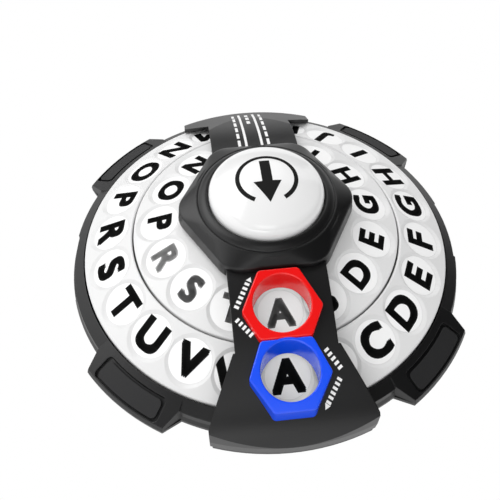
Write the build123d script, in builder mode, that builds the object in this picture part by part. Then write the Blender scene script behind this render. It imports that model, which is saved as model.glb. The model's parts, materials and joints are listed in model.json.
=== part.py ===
from build123d import *
import os
from math import acos, atan, cos, degrees, hypot, pi, radians, sin, sqrt, tan

# A table-top letter game: two coaxial letter wheels that spin in opposite directions when the
# big dome button is pushed down, under a bridge with two hexagonal reading windows.
# Millimetres. Z is up from the table, the wheels turn about the Z axis, and the windows lie
# towards -Y, where the player sits.

os.makedirs("parts", exist_ok=True)

# Letter wheels
outer_wheel_radius = 103.0
wheel_edge_height = 24.0
outer_wheel_slope = 0.514
groove_radius = 74.0
groove_width = 0.9
inner_wheel_slope = 0.364
inner_shoulder_inset = 24.0
inner_shoulder_slope = 0.15
well_gap = 4.02
wheel_wall = 2.8
well_wall = 2.4
wheel_edge_depth = 5.0
wheel_edge_wall = 2.2
wheel_edge_round = 1.5
groove_lip_round = 0.9
inner_lip_depth = 4.6

# Letter recesses: countersunk dishes, one for each letter
outer_letter_count = 22
inner_letter_count = 15
inner_letter_inset = 14.7
recess_floor_radius = 11.7
recess_rim_radius = 14.0
recess_depth = 1.3
recess_overcut = 1.5

# Base and rim
foot_height = 2.0
base_wall = 2.4
base_floor_inset = 6.0
rim_inner_gap = 0.9
rim_drop = 1.7
rim_depth = 12.0
rim_edge_depth = 5.7
rim_band_width = 6.3
rim_wall_run = 0.3
rim_lip_height = 2.8
rim_flare = 1.4
rim_guard_wall = 1.5
flange_inset = 0.2

# Grip lobes on the rim
lobe_count = 4
lobe_first_angle = 45.0
lobe_reach = 10.0
lobe_flare = 1.0
lobe_edge_depth = 9.4
lobe_half_angle = 12.6
lobe_root_half_angle = 15.6
lobe_draft = 9.0
pad_inner_inset = 5.2
pad_outer_inset = 1.6
pad_half_angle = 9.8
pad_corner = 2.6
pad_thickness = 1.5
pad_sink = 0.2
pad_groove = 1.6
pad_outer_groove = 1.1

# Finger scoops half way along each side, where the rim steps in over the flange
scoop_turns = (1.0, 179.0)
scoop_half_angle = 12.0
scoop_ramp = 1.5
scoop_depth = 1.0

# Hub and button
hub_gap = 3.56
hub_side_height = 7.5
hub_slope_height = 4.5
hub_brim = 6.6
hub_corner_round = 14.0
hub_taper_run = 5.9
hub_wall = 2.4
collar_width = 5.5
collar_height = 7.4
button_gap = 0.4
button_radius = 30.5
button_rise = 13.0
dome_shoulder_radius = 7.0
button_lip = 0.5
button_wall = 2.2
button_flange = 1.2
button_flange_height = 2.0
button_travel = 8.0
button_stop_margin = 1.4

# Bridge arms
arm_half_width = 25.3
arm_wall = 2.8
kink_radius = 81.0
kink_step = 1.0
front_foot_half_width = 41.4
front_foot_reach = 10.4
front_foot_side = 1.4
front_foot_draft = 0.9
rear_foot_half_width = 40.4
rear_foot_reach = 0.6
rear_flare_y = 86.0
rear_foot_edge_depth = 1.6
rear_foot_slope = 0.66
arm_foot_wall = 2.4
tongue_run = 2.3
tongue_flat_run = 1.0
front_bend_y = 62.0
front_rise_y = 95.0
front_nose_inset = 9.6
rear_root_run = 9.0
rear_bend_y = 75.0
rear_rise_y = 92.0

# Reading windows
window_slope = 19.0
window_corner_radius = 20.2
window_corner_round = 2.6
window_rim_width = 3.1
window_joint_half_width = 12.8
red_waist = 15.0
blue_waist = 18.0
window_sleeve_wall = 1.4
window_forward_shift = 4.0
window_edge_lift = 14.4
blue_hole_shift = 1.8
window_edge_round = 0.8
wheel_clearance = 1.2

# Drive train
gear_face = 6.0
gear_floor_gap = 3.6
idler_teeth = 18
idler_count = 3
tooth_backlash = 0.3
pressure_angle = 20.0
tooth_addendum = 0.95
tooth_dedendum = 1.2
ring_tip_share = 0.9
ring_root_share = 1.15
ring_gear_wall = 1.9
skirt_inset = 1.85
skirt_wall = 2.5
idler_pin_radius = 3.0
idler_boss_radius = 5.5
post_radius = 7.0
post_bore_radius = 5.4
sleeve_radius = 10.0
wheel_hub_radius = 14.0
wheel_hub_length = 10.0
web_thickness = 2.4
web_step = 4.0
nut_thickness = 3.0
nut_gap = 4.0
ratchet_teeth = 24
ratchet_radius = 25.0
ratchet_wall = 2.6
ratchet_tooth_depth = 1.5
ratchet_height = 7.0
lower_ratchet_radius = 20.0
pawl_disc_thickness = 2.4
pawl_width = 1.8
pawl_count = 3
twist_per_mm = 11.25
bar_width = 9.0
bar_thickness = 2.2
bar_slot_clearance = 0.25
cup_depth = 14.0
cup_wall = 2.2
cup_floor = 2.4
spring_radius = 13.0
spring_wire = 1.3
spring_turns = 5
plunger_disc = 2.0
plunger_boss_radius = 8.0
plunger_drop = 1.6

# Fits
running_fit = 0.05
slide_fit = 0.08
seat_gap = 0.05
body_gap = 0.3
part_line = 0.15

# Small hardware
screw_radius = 1.5
screw_hole_clearance = 0.1
screw_head_radius = 3.0
screw_head_height = 2.0
screw_length = 6.0
case_screw_inset = 6.8
case_screw_skin = 0.8
front_boss_inset = 6.0
front_boss_angle = 13.1
rear_boss_angle = 15.0
foot_pad_radius = 7.0
foot_pad_inset = 13.0
centre_foot_radius = 14.0
click_width = 6.0
click_thickness = 1.0
click_tip_radius = 1.0
click_notch_radius = 1.2
click_nose_height = 1.9
click_foot_length = 8.0
outer_click_angle = 0.0
inner_click_angle = -90.0
inner_click_gap = 2.4

# Hub joints
saddle_gap = 0.6
saddle_rise = 0.5
saddle_half_angle = 34.0
hub_screw_radius = 1.0
hub_screw_inset = 1.77
hub_screw_angle = 26.0
hub_screw_length = 6.0
small_head_overhang = 0.6
small_head_height = 1.2
rear_screw_depth = 3.6
hub_flange_width = 5.02
hub_ring_gap = 1.4
hub_draft_run = 0.7
collar_lip = 1.4
bar_hole_radius = 5.6
guide_count = 2
guide_width = 3.0
guide_depth = 0.7
blade_root = 1.0
bar_screw_grip = 5.0
post_flange_radius = 6.9
post_floor = 8.0
sleeve_flange_radius = 13.6
nut_screw_inset = 3.2
pawl_ring_radius = 13.0
pawl_sweep = 38.0
pin_head_height = 1.0


def outer_top(radius):
    return wheel_edge_height + (outer_wheel_radius - radius) * outer_wheel_slope


def inner_top(radius):
    height = outer_top(groove_radius)
    height += (groove_radius - max(radius, inner_shoulder_radius)) * inner_wheel_slope
    return height + max(0.0, inner_shoulder_radius - radius) * inner_shoulder_slope


def wheel_top(radius):
    if radius >= outer_wheel_radius:
        return wheel_edge_height
    return outer_top(radius) if radius > groove_radius else inner_top(radius)


def polar(radius, angle):
    return (radius * cos(radians(angle)), radius * sin(radians(angle)))


def arm_curve(side, lifts, end_lifts, drop=0.0):
    """Points along the top of a bridge arm in the YZ plane, lowered by drop."""
    points = [(side * y, wheel_top(y) + lift - drop) for y, lift in lifts.items()]
    return points + [(side * y, wheel_edge_height + lift - drop) for y, lift in end_lifts.items()]


def involute(angle):
    return tan(angle) - angle


def gear_points(teeth, module, turn, backlash):
    """Outline of a spur gear with one tooth centred on the angle turn."""
    pitch_radius = module * teeth / 2
    base_radius = pitch_radius * cos(radians(pressure_angle))
    root_radius = pitch_radius - tooth_dedendum * module
    tip_radius = pitch_radius + tooth_addendum * module
    half_tooth = pi / (2 * teeth) - backlash / (2 * pitch_radius)
    points = []
    for tooth in range(teeth):
        centre = radians(turn) + 2 * pi * tooth / teeth
        flank = []
        for radius in (max(root_radius, base_radius), pitch_radius, tip_radius):
            roll = involute(radians(pressure_angle)) - involute(acos(min(1.0, base_radius / radius)))
            flank.append((radius, half_tooth + roll))
        flank.insert(0, (root_radius, flank[0][1]))
        for radius, offset in flank:
            points.append((radius * cos(centre - offset), radius * sin(centre - offset)))
        for radius, offset in reversed(flank):
            points.append((radius * cos(centre + offset), radius * sin(centre + offset)))
    return points


def internal_gear_points(teeth, module):
    """Outline of the space inside an internal gear with one tooth centred on the X axis."""
    pitch_radius = module * teeth / 2
    base_radius = pitch_radius * cos(radians(pressure_angle))
    inner_radius = pitch_radius - ring_tip_share * module
    outer_radius = pitch_radius + ring_root_share * module
    half_space = pi / (2 * teeth) + tooth_backlash / (4 * pitch_radius)
    points = []
    for space in range(teeth):
        centre = 2 * pi * (space + 0.5) / teeth
        flank = []
        for radius in (inner_radius, pitch_radius, outer_radius):
            roll = involute(radians(pressure_angle)) - involute(acos(min(1.0, base_radius / radius)))
            flank.append((radius, half_space + roll))
        for radius, offset in flank:
            points.append((radius * cos(centre - offset), radius * sin(centre - offset)))
        for radius, offset in reversed(flank):
            points.append((radius * cos(centre + offset), radius * sin(centre + offset)))
    return points


def ratchet_points(radius, depth):
    """Outline of an internal saw-tooth ring: one steep and one sloped flank to each tooth."""
    points = []
    step = 360 / ratchet_teeth
    for tooth in range(ratchet_teeth):
        points.append(polar(radius, tooth * step))
        points.append(polar(radius + depth, tooth * step + 0.12 * step))
    return points


def window_plane(distance):
    """Sloped plane of the window tops, at a distance up the slope from the shared edge."""
    run = distance * cos(radians(window_slope))
    rise = distance * sin(radians(window_slope))
    origin = (0, -window_edge_radius + run, window_edge_height + rise)
    normal = (0, -sin(radians(window_slope)), cos(radians(window_slope)))
    return Plane(origin=origin, x_dir=(1, 0, 0), z_dir=normal)


def recess_planes(count, circle, slope, height):
    """Planes of the recess floors below the wheel's surface, facing out of the cone."""
    tilt = atan(slope)
    radius = circle - recess_depth * sin(tilt)
    floor_height = height - recess_depth * cos(tilt)
    planes = []
    for index in range(count):
        x, y = polar(1.0, -90 + index * 360 / count)
        planes.append(Plane(origin=(radius * x, radius * y, floor_height),
                            z_dir=(x * sin(tilt), y * sin(tilt), cos(tilt))))
    return planes


# Radii and heights of the base, the rim and the lobes
rim_bottom = wheel_edge_height - rim_depth
rim_edge_height = wheel_edge_height - rim_edge_depth
rim_inner_radius = outer_wheel_radius + rim_inner_gap
rim_edge_radius = rim_inner_radius + rim_band_width
rim_skirt_radius = rim_edge_radius + rim_flare
rim_top = wheel_edge_height - rim_drop
guard_outer_radius = rim_inner_radius + rim_guard_wall
base_floor_radius = outer_wheel_radius - base_floor_inset
flange_bottom = rim_bottom - base_wall
flange_radius = rim_skirt_radius - flange_inset
floor_top = foot_height + base_wall
lobe_edge_radius = rim_edge_radius + lobe_reach
lobe_skirt_radius = lobe_edge_radius + lobe_flare
lobe_slope = (lobe_edge_depth - rim_drop) / (lobe_edge_radius - rim_inner_radius)
pad_inner_radius = rim_inner_radius + pad_inner_inset
pad_outer_radius = lobe_edge_radius - pad_outer_inset
scoop_radius = rim_edge_radius - scoop_depth
front_foot_radius = rim_edge_radius + front_foot_reach
rear_foot_radius = rim_edge_radius + rear_foot_reach

# The button in its cup, the hub round it and the wheel's well below it
screw_bore = screw_radius + screw_hole_clearance
button_flange_radius = button_radius + button_flange
cup_bore_radius = button_flange_radius + slide_fit
cup_outer_radius = cup_bore_radius + cup_wall
hub_ring_radius = cup_outer_radius + 2 * seat_gap
hub_ring_outer_radius = cup_outer_radius + hub_flange_width
hub_screw_circle = cup_outer_radius + hub_screw_inset
well_radius = cup_outer_radius + well_gap
collar_outer_radius = button_radius + button_gap + collar_width
hub_ring_inner_radius = collar_outer_radius + hub_ring_gap
hub_apothem = collar_outer_radius + hub_brim
inner_shoulder_radius = groove_radius - inner_shoulder_inset
hub_bottom = inner_top(well_radius) + hub_gap
hub_edge_height = hub_bottom + hub_side_height
hub_top = hub_edge_height + hub_slope_height
cup_top = hub_edge_height - button_lip
cup_bottom = cup_top - cup_depth
cup_floor_top = cup_bottom + cup_floor
collar_bottom = cup_top + seat_gap
collar_top = collar_bottom + collar_height
dome_base = collar_top + button_lip
dome_top = dome_base + button_rise
flange_top = collar_bottom - seat_gap
skirt_end = flange_top - button_flange_height
plunger_bottom = cup_floor_top + button_travel + button_stop_margin
disc_bottom = dome_base - plunger_drop - plunger_disc
boss_top = dome_top - button_wall - plunger_disc
bar_top = boss_top - plunger_disc

# The drive below the cup, and the gears round the post
sleeve_top = cup_bottom - nut_gap
nut_bottom = sleeve_top - nut_thickness
bar_bottom = nut_bottom - plunger_disc
nut_screw_circle = sleeve_flange_radius - nut_screw_inset
wheel_hub_top = nut_bottom - 2 * pawl_disc_thickness - body_gap + seat_gap
wheel_hub_bottom = wheel_hub_top - wheel_hub_length
web_top = wheel_hub_top - web_step
post_top = nut_bottom - body_gap
gear_bottom = floor_top + gear_floor_gap
gear_top = gear_bottom + gear_face
inner_wheel_edge = groove_radius - groove_width / 2
outer_wheel_inner_edge = groove_radius + groove_width / 2
skirt_inner_radius = outer_wheel_inner_edge + skirt_inset
skirt_outer_radius = skirt_inner_radius + skirt_wall
skirt_guard_radius = skirt_outer_radius + slide_fit + base_wall
ring_gear_outer_radius = skirt_inner_radius - 2 * seat_gap
sun_teeth = 2 * idler_teeth
ring_teeth = sun_teeth + 2 * idler_teeth
ring_root_radius = ring_gear_outer_radius - ring_gear_wall
ring_pitch_radius = ring_root_radius / (1 + 2 * ring_root_share / ring_teeth)
gear_module = 2 * ring_pitch_radius / ring_teeth
idler_circle = gear_module * (sun_teeth + idler_teeth) / 2
idler_angles = [90 + index * 360 / idler_count for index in range(idler_count)]

# The letters, the windows over them and the arms of the bridge
outer_letter_circle = (groove_radius + outer_wheel_radius) / 2
inner_letter_circle = groove_radius - inner_letter_inset
window_edge_radius = (inner_letter_circle + outer_letter_circle) / 2 + window_forward_shift
window_edge_height = wheel_top(window_edge_radius) + window_edge_lift
window_apothem = window_corner_radius * cos(radians(30))
window_hole_radius = window_apothem - window_rim_width
front_root_y = hub_ring_outer_radius + tongue_flat_run
tongue_inner_y = hub_ring_outer_radius - tongue_run
rear_root_y = hub_ring_outer_radius + rear_root_run
front_lifts = {front_root_y: 8.4, front_bend_y: 9.7, kink_radius: 10.9, front_rise_y: 12.0}
front_end_lifts = {front_foot_radius - front_nose_inset: 7.0, front_foot_radius: -4.4}
rear_lifts = {rear_root_y: 3.6, rear_bend_y: 4.7, rear_rise_y: 4.9}
rear_end_lifts = {rear_foot_radius: 0.7}
front_curve = arm_curve(-1, front_lifts, front_end_lifts)
front_under = arm_curve(-1, front_lifts, front_end_lifts, arm_wall)
rear_curve = arm_curve(1, rear_lifts, rear_end_lifts)
rear_under = arm_curve(1, rear_lifts, rear_end_lifts, arm_wall)


def front_outline(margin):
    """Left edge of the front arm from the hub to the foot's corner, widened by margin."""
    narrow = arm_half_width + margin
    wide = front_foot_half_width + margin
    corner = sqrt((front_foot_radius + margin) ** 2 - wide ** 2)
    return [(-narrow, -tongue_inner_y + margin), (-narrow, -kink_radius),
            (-narrow - kink_step, -kink_radius), (-wide, -corner + front_foot_side),
            (-wide, -corner)]


def rear_outline(margin):
    """Left edge of the rear arm from the hub to the foot's corner, widened by margin."""
    narrow = arm_half_width + margin
    wide = rear_foot_half_width + margin
    corner = sqrt((rear_foot_radius + margin) ** 2 - wide ** 2)
    return [(-narrow, tongue_inner_y - margin), (-narrow, rear_flare_y),
            (-wide, rear_flare_y + 0.45 * (wide - narrow)), (-wide, corner)]


def mirrored(points):
    return [(-x, y) for x, y in reversed(points)]


def lobe_top(radius):
    return rim_top - (radius - rim_inner_radius) * lobe_slope


def pad_floor(radius):
    return lobe_top(radius) - pad_thickness - pad_sink


# Bottom shell: the floor, a flared wall and a flange that carries the rim
with BuildPart() as flange_blank:
    with BuildSketch(Plane.XY.offset(flange_bottom)):
        Circle(flange_radius)
        for angle in [lobe_first_angle + index * 360 / lobe_count for index in range(lobe_count)]:
            with BuildLine():
                Polyline(polar(lobe_skirt_radius - flange_inset, angle - lobe_half_angle),
                         polar(flange_radius, angle - lobe_root_half_angle), (0, 0),
                         polar(flange_radius, angle + lobe_root_half_angle),
                         polar(lobe_skirt_radius - flange_inset, angle + lobe_half_angle))
                ThreePointArc(polar(lobe_skirt_radius - flange_inset, angle + lobe_half_angle),
                              polar(lobe_skirt_radius - flange_inset, angle),
                              polar(lobe_skirt_radius - flange_inset, angle - lobe_half_angle))
            make_face()
        front_edge = front_outline(-flange_inset - front_foot_draft)
        with BuildLine():
            Polyline(*front_edge)
            Polyline(*mirrored(front_edge))
            Line(front_edge[0], (-front_edge[0][0], front_edge[0][1]))
            ThreePointArc(front_edge[-1], (0, -front_foot_radius + flange_inset + front_foot_draft),
                          (-front_edge[-1][0], front_edge[-1][1]))
        make_face()
    extrude(amount=base_wall)

idler_centres = [polar(idler_circle, angle) for angle in idler_angles]
case_screw_angles = [lobe_first_angle + index * 360 / lobe_count for index in range(lobe_count)]
case_screw_circle = lobe_skirt_radius - case_screw_inset
case_screw_centres = [polar(case_screw_circle, angle) for angle in case_screw_angles]
case_screw_depth = pad_floor(case_screw_circle + screw_bore) - rim_bottom - case_screw_skin
front_boss_centres = [polar(front_foot_radius - front_boss_inset, -90 + side * front_boss_angle)
                      for side in (-1, 1)]
rear_boss_circle = (guard_outer_radius + rear_foot_radius - arm_foot_wall) / 2
rear_boss_centres = [polar(rear_boss_circle, 90 + side * rear_boss_angle) for side in (-1, 1)]
foot_centres = [polar(base_floor_radius - foot_pad_inset, 45 + 90 * index) for index in range(4)]

with BuildPart() as bottom_shell:
    with BuildSketch(Plane.XZ):
        with BuildLine():
            Polyline((0, foot_height), (base_floor_radius, foot_height),
                     (flange_radius, flange_bottom), (flange_radius, rim_bottom),
                     (flange_radius - base_wall, rim_bottom),
                     (flange_radius - base_wall, flange_bottom),
                     (base_floor_radius - base_wall, floor_top), (0, floor_top), close=True)
        make_face()
    revolve(axis=Axis.Z)
    add(flange_blank.part)
    with BuildSketch(Plane.XY.offset(flange_bottom)):
        Circle(rim_inner_radius)
    extrude(amount=base_wall, mode=Mode.SUBTRACT)
    with BuildSketch(Plane.XY.offset(floor_top)):
        Circle(skirt_guard_radius)
        Circle(skirt_outer_radius + slide_fit, mode=Mode.SUBTRACT)
        with Locations(*idler_centres):
            Circle(idler_boss_radius)
    extrude(amount=gear_floor_gap - seat_gap)
    with BuildSketch(Plane.XY.offset(floor_top)):
        Circle(skirt_outer_radius)
        Circle(ring_pitch_radius, mode=Mode.SUBTRACT)
    extrude(amount=gear_floor_gap - body_gap)
    with BuildSketch(Plane.XY.offset(floor_top)):
        Circle(skirt_guard_radius)
        Circle(skirt_outer_radius + slide_fit, mode=Mode.SUBTRACT)
    extrude(amount=2 * gear_face)
    with BuildSketch(Plane.XY.offset(floor_top)):
        with Locations(*idler_centres):
            Circle(idler_pin_radius + seat_gap)
    extrude(amount=gear_floor_gap, mode=Mode.SUBTRACT)
    with BuildSketch(Plane.XY.offset(flange_bottom)):
        with Locations(*case_screw_centres, *front_boss_centres, *rear_boss_centres):
            Circle(screw_bore)
    extrude(amount=base_wall, mode=Mode.SUBTRACT)
    with BuildSketch(Plane.XY.offset(flange_bottom)):
        with Locations(*rear_boss_centres):
            Circle(screw_head_radius + screw_hole_clearance)
    extrude(amount=-flange_bottom, mode=Mode.SUBTRACT)
    with BuildSketch(Plane.XY.offset(foot_height)):
        Circle(screw_bore)
    extrude(amount=base_wall, mode=Mode.SUBTRACT)
bottom_shell.part.label = "bottom_shell"
export_step(bottom_shell.part, "parts/bottom_shell.step")

# Rim ring: sloped band over the flange, four grip lobes and two finger scoops
rim_profile = [(rim_inner_radius, rim_bottom), (rim_skirt_radius, rim_bottom),
               (rim_edge_radius + rim_wall_run, rim_bottom + rim_lip_height),
               (rim_edge_radius, rim_edge_height), (rim_inner_radius, rim_top)]
lobe_profile = [(rim_inner_radius, rim_bottom), (lobe_skirt_radius, rim_bottom),
                (lobe_edge_radius, wheel_edge_height - lobe_edge_depth),
                (rim_inner_radius, rim_top)]

with BuildPart() as lobe_blank:
    with BuildSketch(Plane.XY.offset(rim_bottom)):
        with BuildLine():
            Polyline(polar(lobe_skirt_radius, lobe_half_angle),
                     polar(rim_edge_radius, lobe_root_half_angle),
                     polar(base_floor_radius, lobe_root_half_angle),
                     polar(base_floor_radius, -lobe_root_half_angle),
                     polar(rim_edge_radius, -lobe_root_half_angle),
                     polar(lobe_skirt_radius, -lobe_half_angle))
            ThreePointArc(polar(lobe_skirt_radius, -lobe_half_angle), (lobe_skirt_radius, 0),
                          polar(lobe_skirt_radius, lobe_half_angle))
        make_face()
    extrude(amount=rim_depth, taper=lobe_draft)
    with BuildSketch(Plane.XZ):
        with BuildLine():
            Polyline(*lobe_profile, close=True)
        make_face()
    revolve(axis=Axis.Z, mode=Mode.INTERSECT)

pocket_inner_radius = pad_inner_radius - pad_groove
pocket_outer_radius = pad_outer_radius + pad_outer_groove
pocket_half_angle = pad_half_angle + degrees(pad_groove / pad_inner_radius)

with BuildPart() as pad_pocket:
    with BuildSketch(Plane.XZ):
        with BuildLine():
            Polyline((pocket_inner_radius, pad_floor(pocket_inner_radius)),
                     (pocket_outer_radius, pad_floor(pocket_outer_radius)),
                     (pocket_outer_radius, wheel_edge_height),
                     (pocket_inner_radius, wheel_edge_height), close=True)
        make_face()
    revolve(axis=Axis.Z, revolution_arc=2 * pocket_half_angle)
    fillet(pad_pocket.edges().filter_by(Axis.Z), radius=pad_corner)

with BuildPart() as pad_blank:
    with BuildSketch(Plane.XZ):
        with BuildLine():
            Polyline((pad_inner_radius, pad_floor(pad_inner_radius)),
                     (pad_outer_radius, pad_floor(pad_outer_radius)),
                     (pad_outer_radius, pad_floor(pad_outer_radius) + pad_thickness),
                     (pad_inner_radius, pad_floor(pad_inner_radius) + pad_thickness), close=True)
        make_face()
    revolve(axis=Axis.Z, revolution_arc=2 * pad_half_angle)
    fillet(pad_blank.edges().filter_by(Axis.Z), radius=pad_corner)

with BuildPart() as arm_feet_space:
    with BuildSketch(Plane.XY.offset(rim_bottom)):
        for edge, reach in ((front_outline(part_line), -front_foot_radius - part_line),
                            (rear_outline(part_line), rear_foot_radius + part_line)):
            with BuildLine():
                Polyline(*edge)
                Polyline(*mirrored(edge))
                Line(edge[0], (-edge[0][0], edge[0][1]))
                ThreePointArc(edge[-1], (0, reach), (-edge[-1][0], edge[-1][1]))
            make_face()
        Circle(guard_outer_radius, mode=Mode.SUBTRACT)
    extrude(amount=rim_depth)

with BuildPart() as rim_ring:
    with BuildSketch(Plane.XZ):
        with BuildLine():
            Polyline(*rim_profile, close=True)
        make_face()
    revolve(axis=Axis.Z)
    for turn in scoop_turns:
        first = turn - scoop_half_angle
        last = turn + scoop_half_angle
        with BuildSketch(Plane.XY.offset(rim_bottom)):
            with BuildLine():
                Polyline(polar(scoop_radius, last - scoop_ramp), polar(lobe_skirt_radius, last),
                         polar(lobe_skirt_radius, turn), polar(lobe_skirt_radius, first),
                         polar(scoop_radius, first + scoop_ramp))
                ThreePointArc(polar(scoop_radius, first + scoop_ramp), polar(scoop_radius, turn),
                              polar(scoop_radius, last - scoop_ramp))
            make_face()
        extrude(amount=rim_depth, mode=Mode.SUBTRACT)
    with PolarLocations(0, lobe_count, start_angle=lobe_first_angle):
        add(lobe_blank.part)
    with PolarLocations(0, lobe_count, start_angle=lobe_first_angle - pocket_half_angle):
        add(pad_pocket.part, mode=Mode.SUBTRACT)
    add(arm_feet_space.part, mode=Mode.SUBTRACT)
    with BuildSketch(Plane.XY.offset(rim_bottom)):
        with Locations(*case_screw_centres):
            Circle(screw_bore)
    extrude(amount=case_screw_depth, mode=Mode.SUBTRACT)
rim_ring.part.label = "rim_ring"
export_step(rim_ring.part, "parts/rim_ring.step")

# Soft grip pads sunk into the lobes
pad_names = ("grip_pad_rear_right", "grip_pad_rear_left", "grip_pad_front_left",
             "grip_pad_front_right")
for index, pad_name in enumerate(pad_names):
    with BuildPart() as grip_pad:
        with PolarLocations(0, 1, start_angle=case_screw_angles[index] - pad_half_angle):
            add(pad_blank.part)
    grip_pad.part.label = pad_name
    export_step(grip_pad.part, f"parts/{pad_name}.step")

recess_flank = (recess_rim_radius - recess_floor_radius) / recess_depth
recess_top_radius = recess_rim_radius + recess_overcut * recess_flank

# Outer letter wheel: a sloped ring with a journal skirt and a click-notched edge
with BuildPart() as outer_wheel:
    with BuildSketch(Plane.XZ) as outer_wheel_profile:
        with BuildLine():
            Polyline((outer_wheel_inner_edge, outer_top(outer_wheel_inner_edge)),
                     (outer_wheel_radius, wheel_edge_height),
                     (outer_wheel_radius, wheel_edge_height - wheel_edge_depth),
                     (outer_wheel_radius - wheel_edge_wall, wheel_edge_height - wheel_edge_depth),
                     (outer_wheel_radius - wheel_edge_wall,
                      outer_top(outer_wheel_radius - wheel_edge_wall) - wheel_wall),
                     (skirt_outer_radius, outer_top(skirt_outer_radius) - wheel_wall),
                     (skirt_outer_radius, gear_bottom), (skirt_inner_radius, gear_bottom),
                     (skirt_inner_radius, outer_top(skirt_inner_radius) - wheel_wall),
                     (outer_wheel_inner_edge, outer_top(outer_wheel_inner_edge) - wheel_wall),
                     close=True)
        make_face()
        groove_corner = outer_wheel_profile.vertices().sort_by(Axis.Y)[-1]
        fillet(groove_corner, radius=groove_lip_round)
        edge_corner = outer_wheel_profile.vertices().sort_by(Axis.X)[-2:].sort_by(Axis.Y)[-1]
        fillet(edge_corner, radius=wheel_edge_round)
    revolve(axis=Axis.Z)
    with Locations(*recess_planes(outer_letter_count, outer_letter_circle, outer_wheel_slope,
                                  outer_top(outer_letter_circle))):
        Cone(recess_floor_radius, recess_top_radius, recess_depth + recess_overcut,
             align=(Align.CENTER, Align.CENTER, Align.MIN), mode=Mode.SUBTRACT)
    with BuildSketch(Plane.XY.offset(wheel_edge_height - wheel_edge_depth)):
        with PolarLocations(outer_wheel_radius - wheel_edge_wall, outer_letter_count,
                            start_angle=-90):
            Circle(click_notch_radius)
    extrude(amount=wheel_edge_depth - wheel_wall, mode=Mode.SUBTRACT)
outer_wheel.part.label = "outer_wheel"
export_step(outer_wheel.part, "parts/outer_wheel.step")

# Inner letter wheel: flatter ring, deep well, web, hub and an upstanding ratchet ring
inner_lip_inner = inner_wheel_edge - wheel_edge_wall
with BuildPart() as inner_wheel:
    with BuildSketch(Plane.XZ) as inner_wheel_profile:
        with BuildLine():
            Polyline((inner_wheel_edge, inner_top(inner_wheel_edge)),
                     (inner_shoulder_radius, inner_top(inner_shoulder_radius)),
                     (well_radius, inner_top(well_radius)), (well_radius, web_top),
                     (wheel_hub_radius, web_top), (wheel_hub_radius, wheel_hub_top),
                     (sleeve_radius + running_fit, wheel_hub_top),
                     (sleeve_radius + running_fit, wheel_hub_bottom),
                     (wheel_hub_radius, wheel_hub_bottom),
                     (wheel_hub_radius, web_top - web_thickness),
                     (well_radius + well_wall, web_top - web_thickness),
                     (well_radius + well_wall, inner_top(well_radius + well_wall) - wheel_wall),
                     (inner_shoulder_radius, inner_top(inner_shoulder_radius) - wheel_wall),
                     (inner_lip_inner, inner_top(inner_lip_inner) - wheel_wall),
                     (inner_lip_inner, inner_top(inner_wheel_edge) - inner_lip_depth),
                     (inner_wheel_edge, inner_top(inner_wheel_edge) - inner_lip_depth),
                     close=True)
        make_face()
        lip_corner = inner_wheel_profile.vertices().sort_by(Axis.X)[-2:].sort_by(Axis.Y)[-1]
        fillet(lip_corner, radius=groove_lip_round)
    revolve(axis=Axis.Z)
    with BuildSketch(Plane.XY.offset(web_top)):
        Circle(ratchet_radius + ratchet_wall)
        with BuildLine():
            Polyline(*ratchet_points(ratchet_radius, ratchet_tooth_depth), close=True)
        make_face(mode=Mode.SUBTRACT)
    extrude(amount=ratchet_height)
    with Locations(*recess_planes(inner_letter_count, inner_letter_circle, inner_wheel_slope,
                                  inner_top(inner_letter_circle))):
        Cone(recess_floor_radius, recess_top_radius, recess_depth + recess_overcut,
             align=(Align.CENTER, Align.CENTER, Align.MIN), mode=Mode.SUBTRACT)
    with BuildSketch(Plane.XY.offset(inner_top(inner_wheel_edge) - inner_lip_depth)):
        with PolarLocations(inner_lip_inner, inner_letter_count, start_angle=-90):
            Circle(click_notch_radius)
    extrude(amount=inner_lip_depth - wheel_wall, mode=Mode.SUBTRACT)
inner_wheel.part.label = "inner_wheel"
export_step(inner_wheel.part, "parts/inner_wheel.step")

# Front arm: a curved plate over the wheels, ending in a hollow foot on the flange
foot_bottom = rim_bottom + seat_gap
front_edge = front_outline(0)
hollow_edge = front_outline(-front_foot_draft - arm_foot_wall)
with BuildPart() as front_foot_hollow:
    with BuildSketch(Plane.XY.offset(foot_bottom)):
        with BuildLine():
            Polyline(*hollow_edge)
            Polyline(*mirrored(hollow_edge))
            Line(hollow_edge[0], (-hollow_edge[0][0], hollow_edge[0][1]))
            ThreePointArc(hollow_edge[-1], (0, -front_foot_radius + front_foot_draft + arm_foot_wall),
                          (-hollow_edge[-1][0], hollow_edge[-1][1]))
        make_face()
        Circle(guard_outer_radius + part_line, mode=Mode.SUBTRACT)
        with Locations(*front_boss_centres):
            Circle(screw_head_radius + 1, mode=Mode.SUBTRACT)
    extrude(amount=2 * rim_depth + window_edge_lift)

with BuildPart() as front_under_space:
    with BuildSketch(Plane.YZ):
        with BuildLine():
            Spline(*front_under)
            Polyline(front_under[-1], (front_under[-1][0], 0), (0, 0), (0, front_under[0][1]),
                     front_under[0])
        make_face()
    extrude(amount=2 * front_foot_half_width, both=True)

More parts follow.
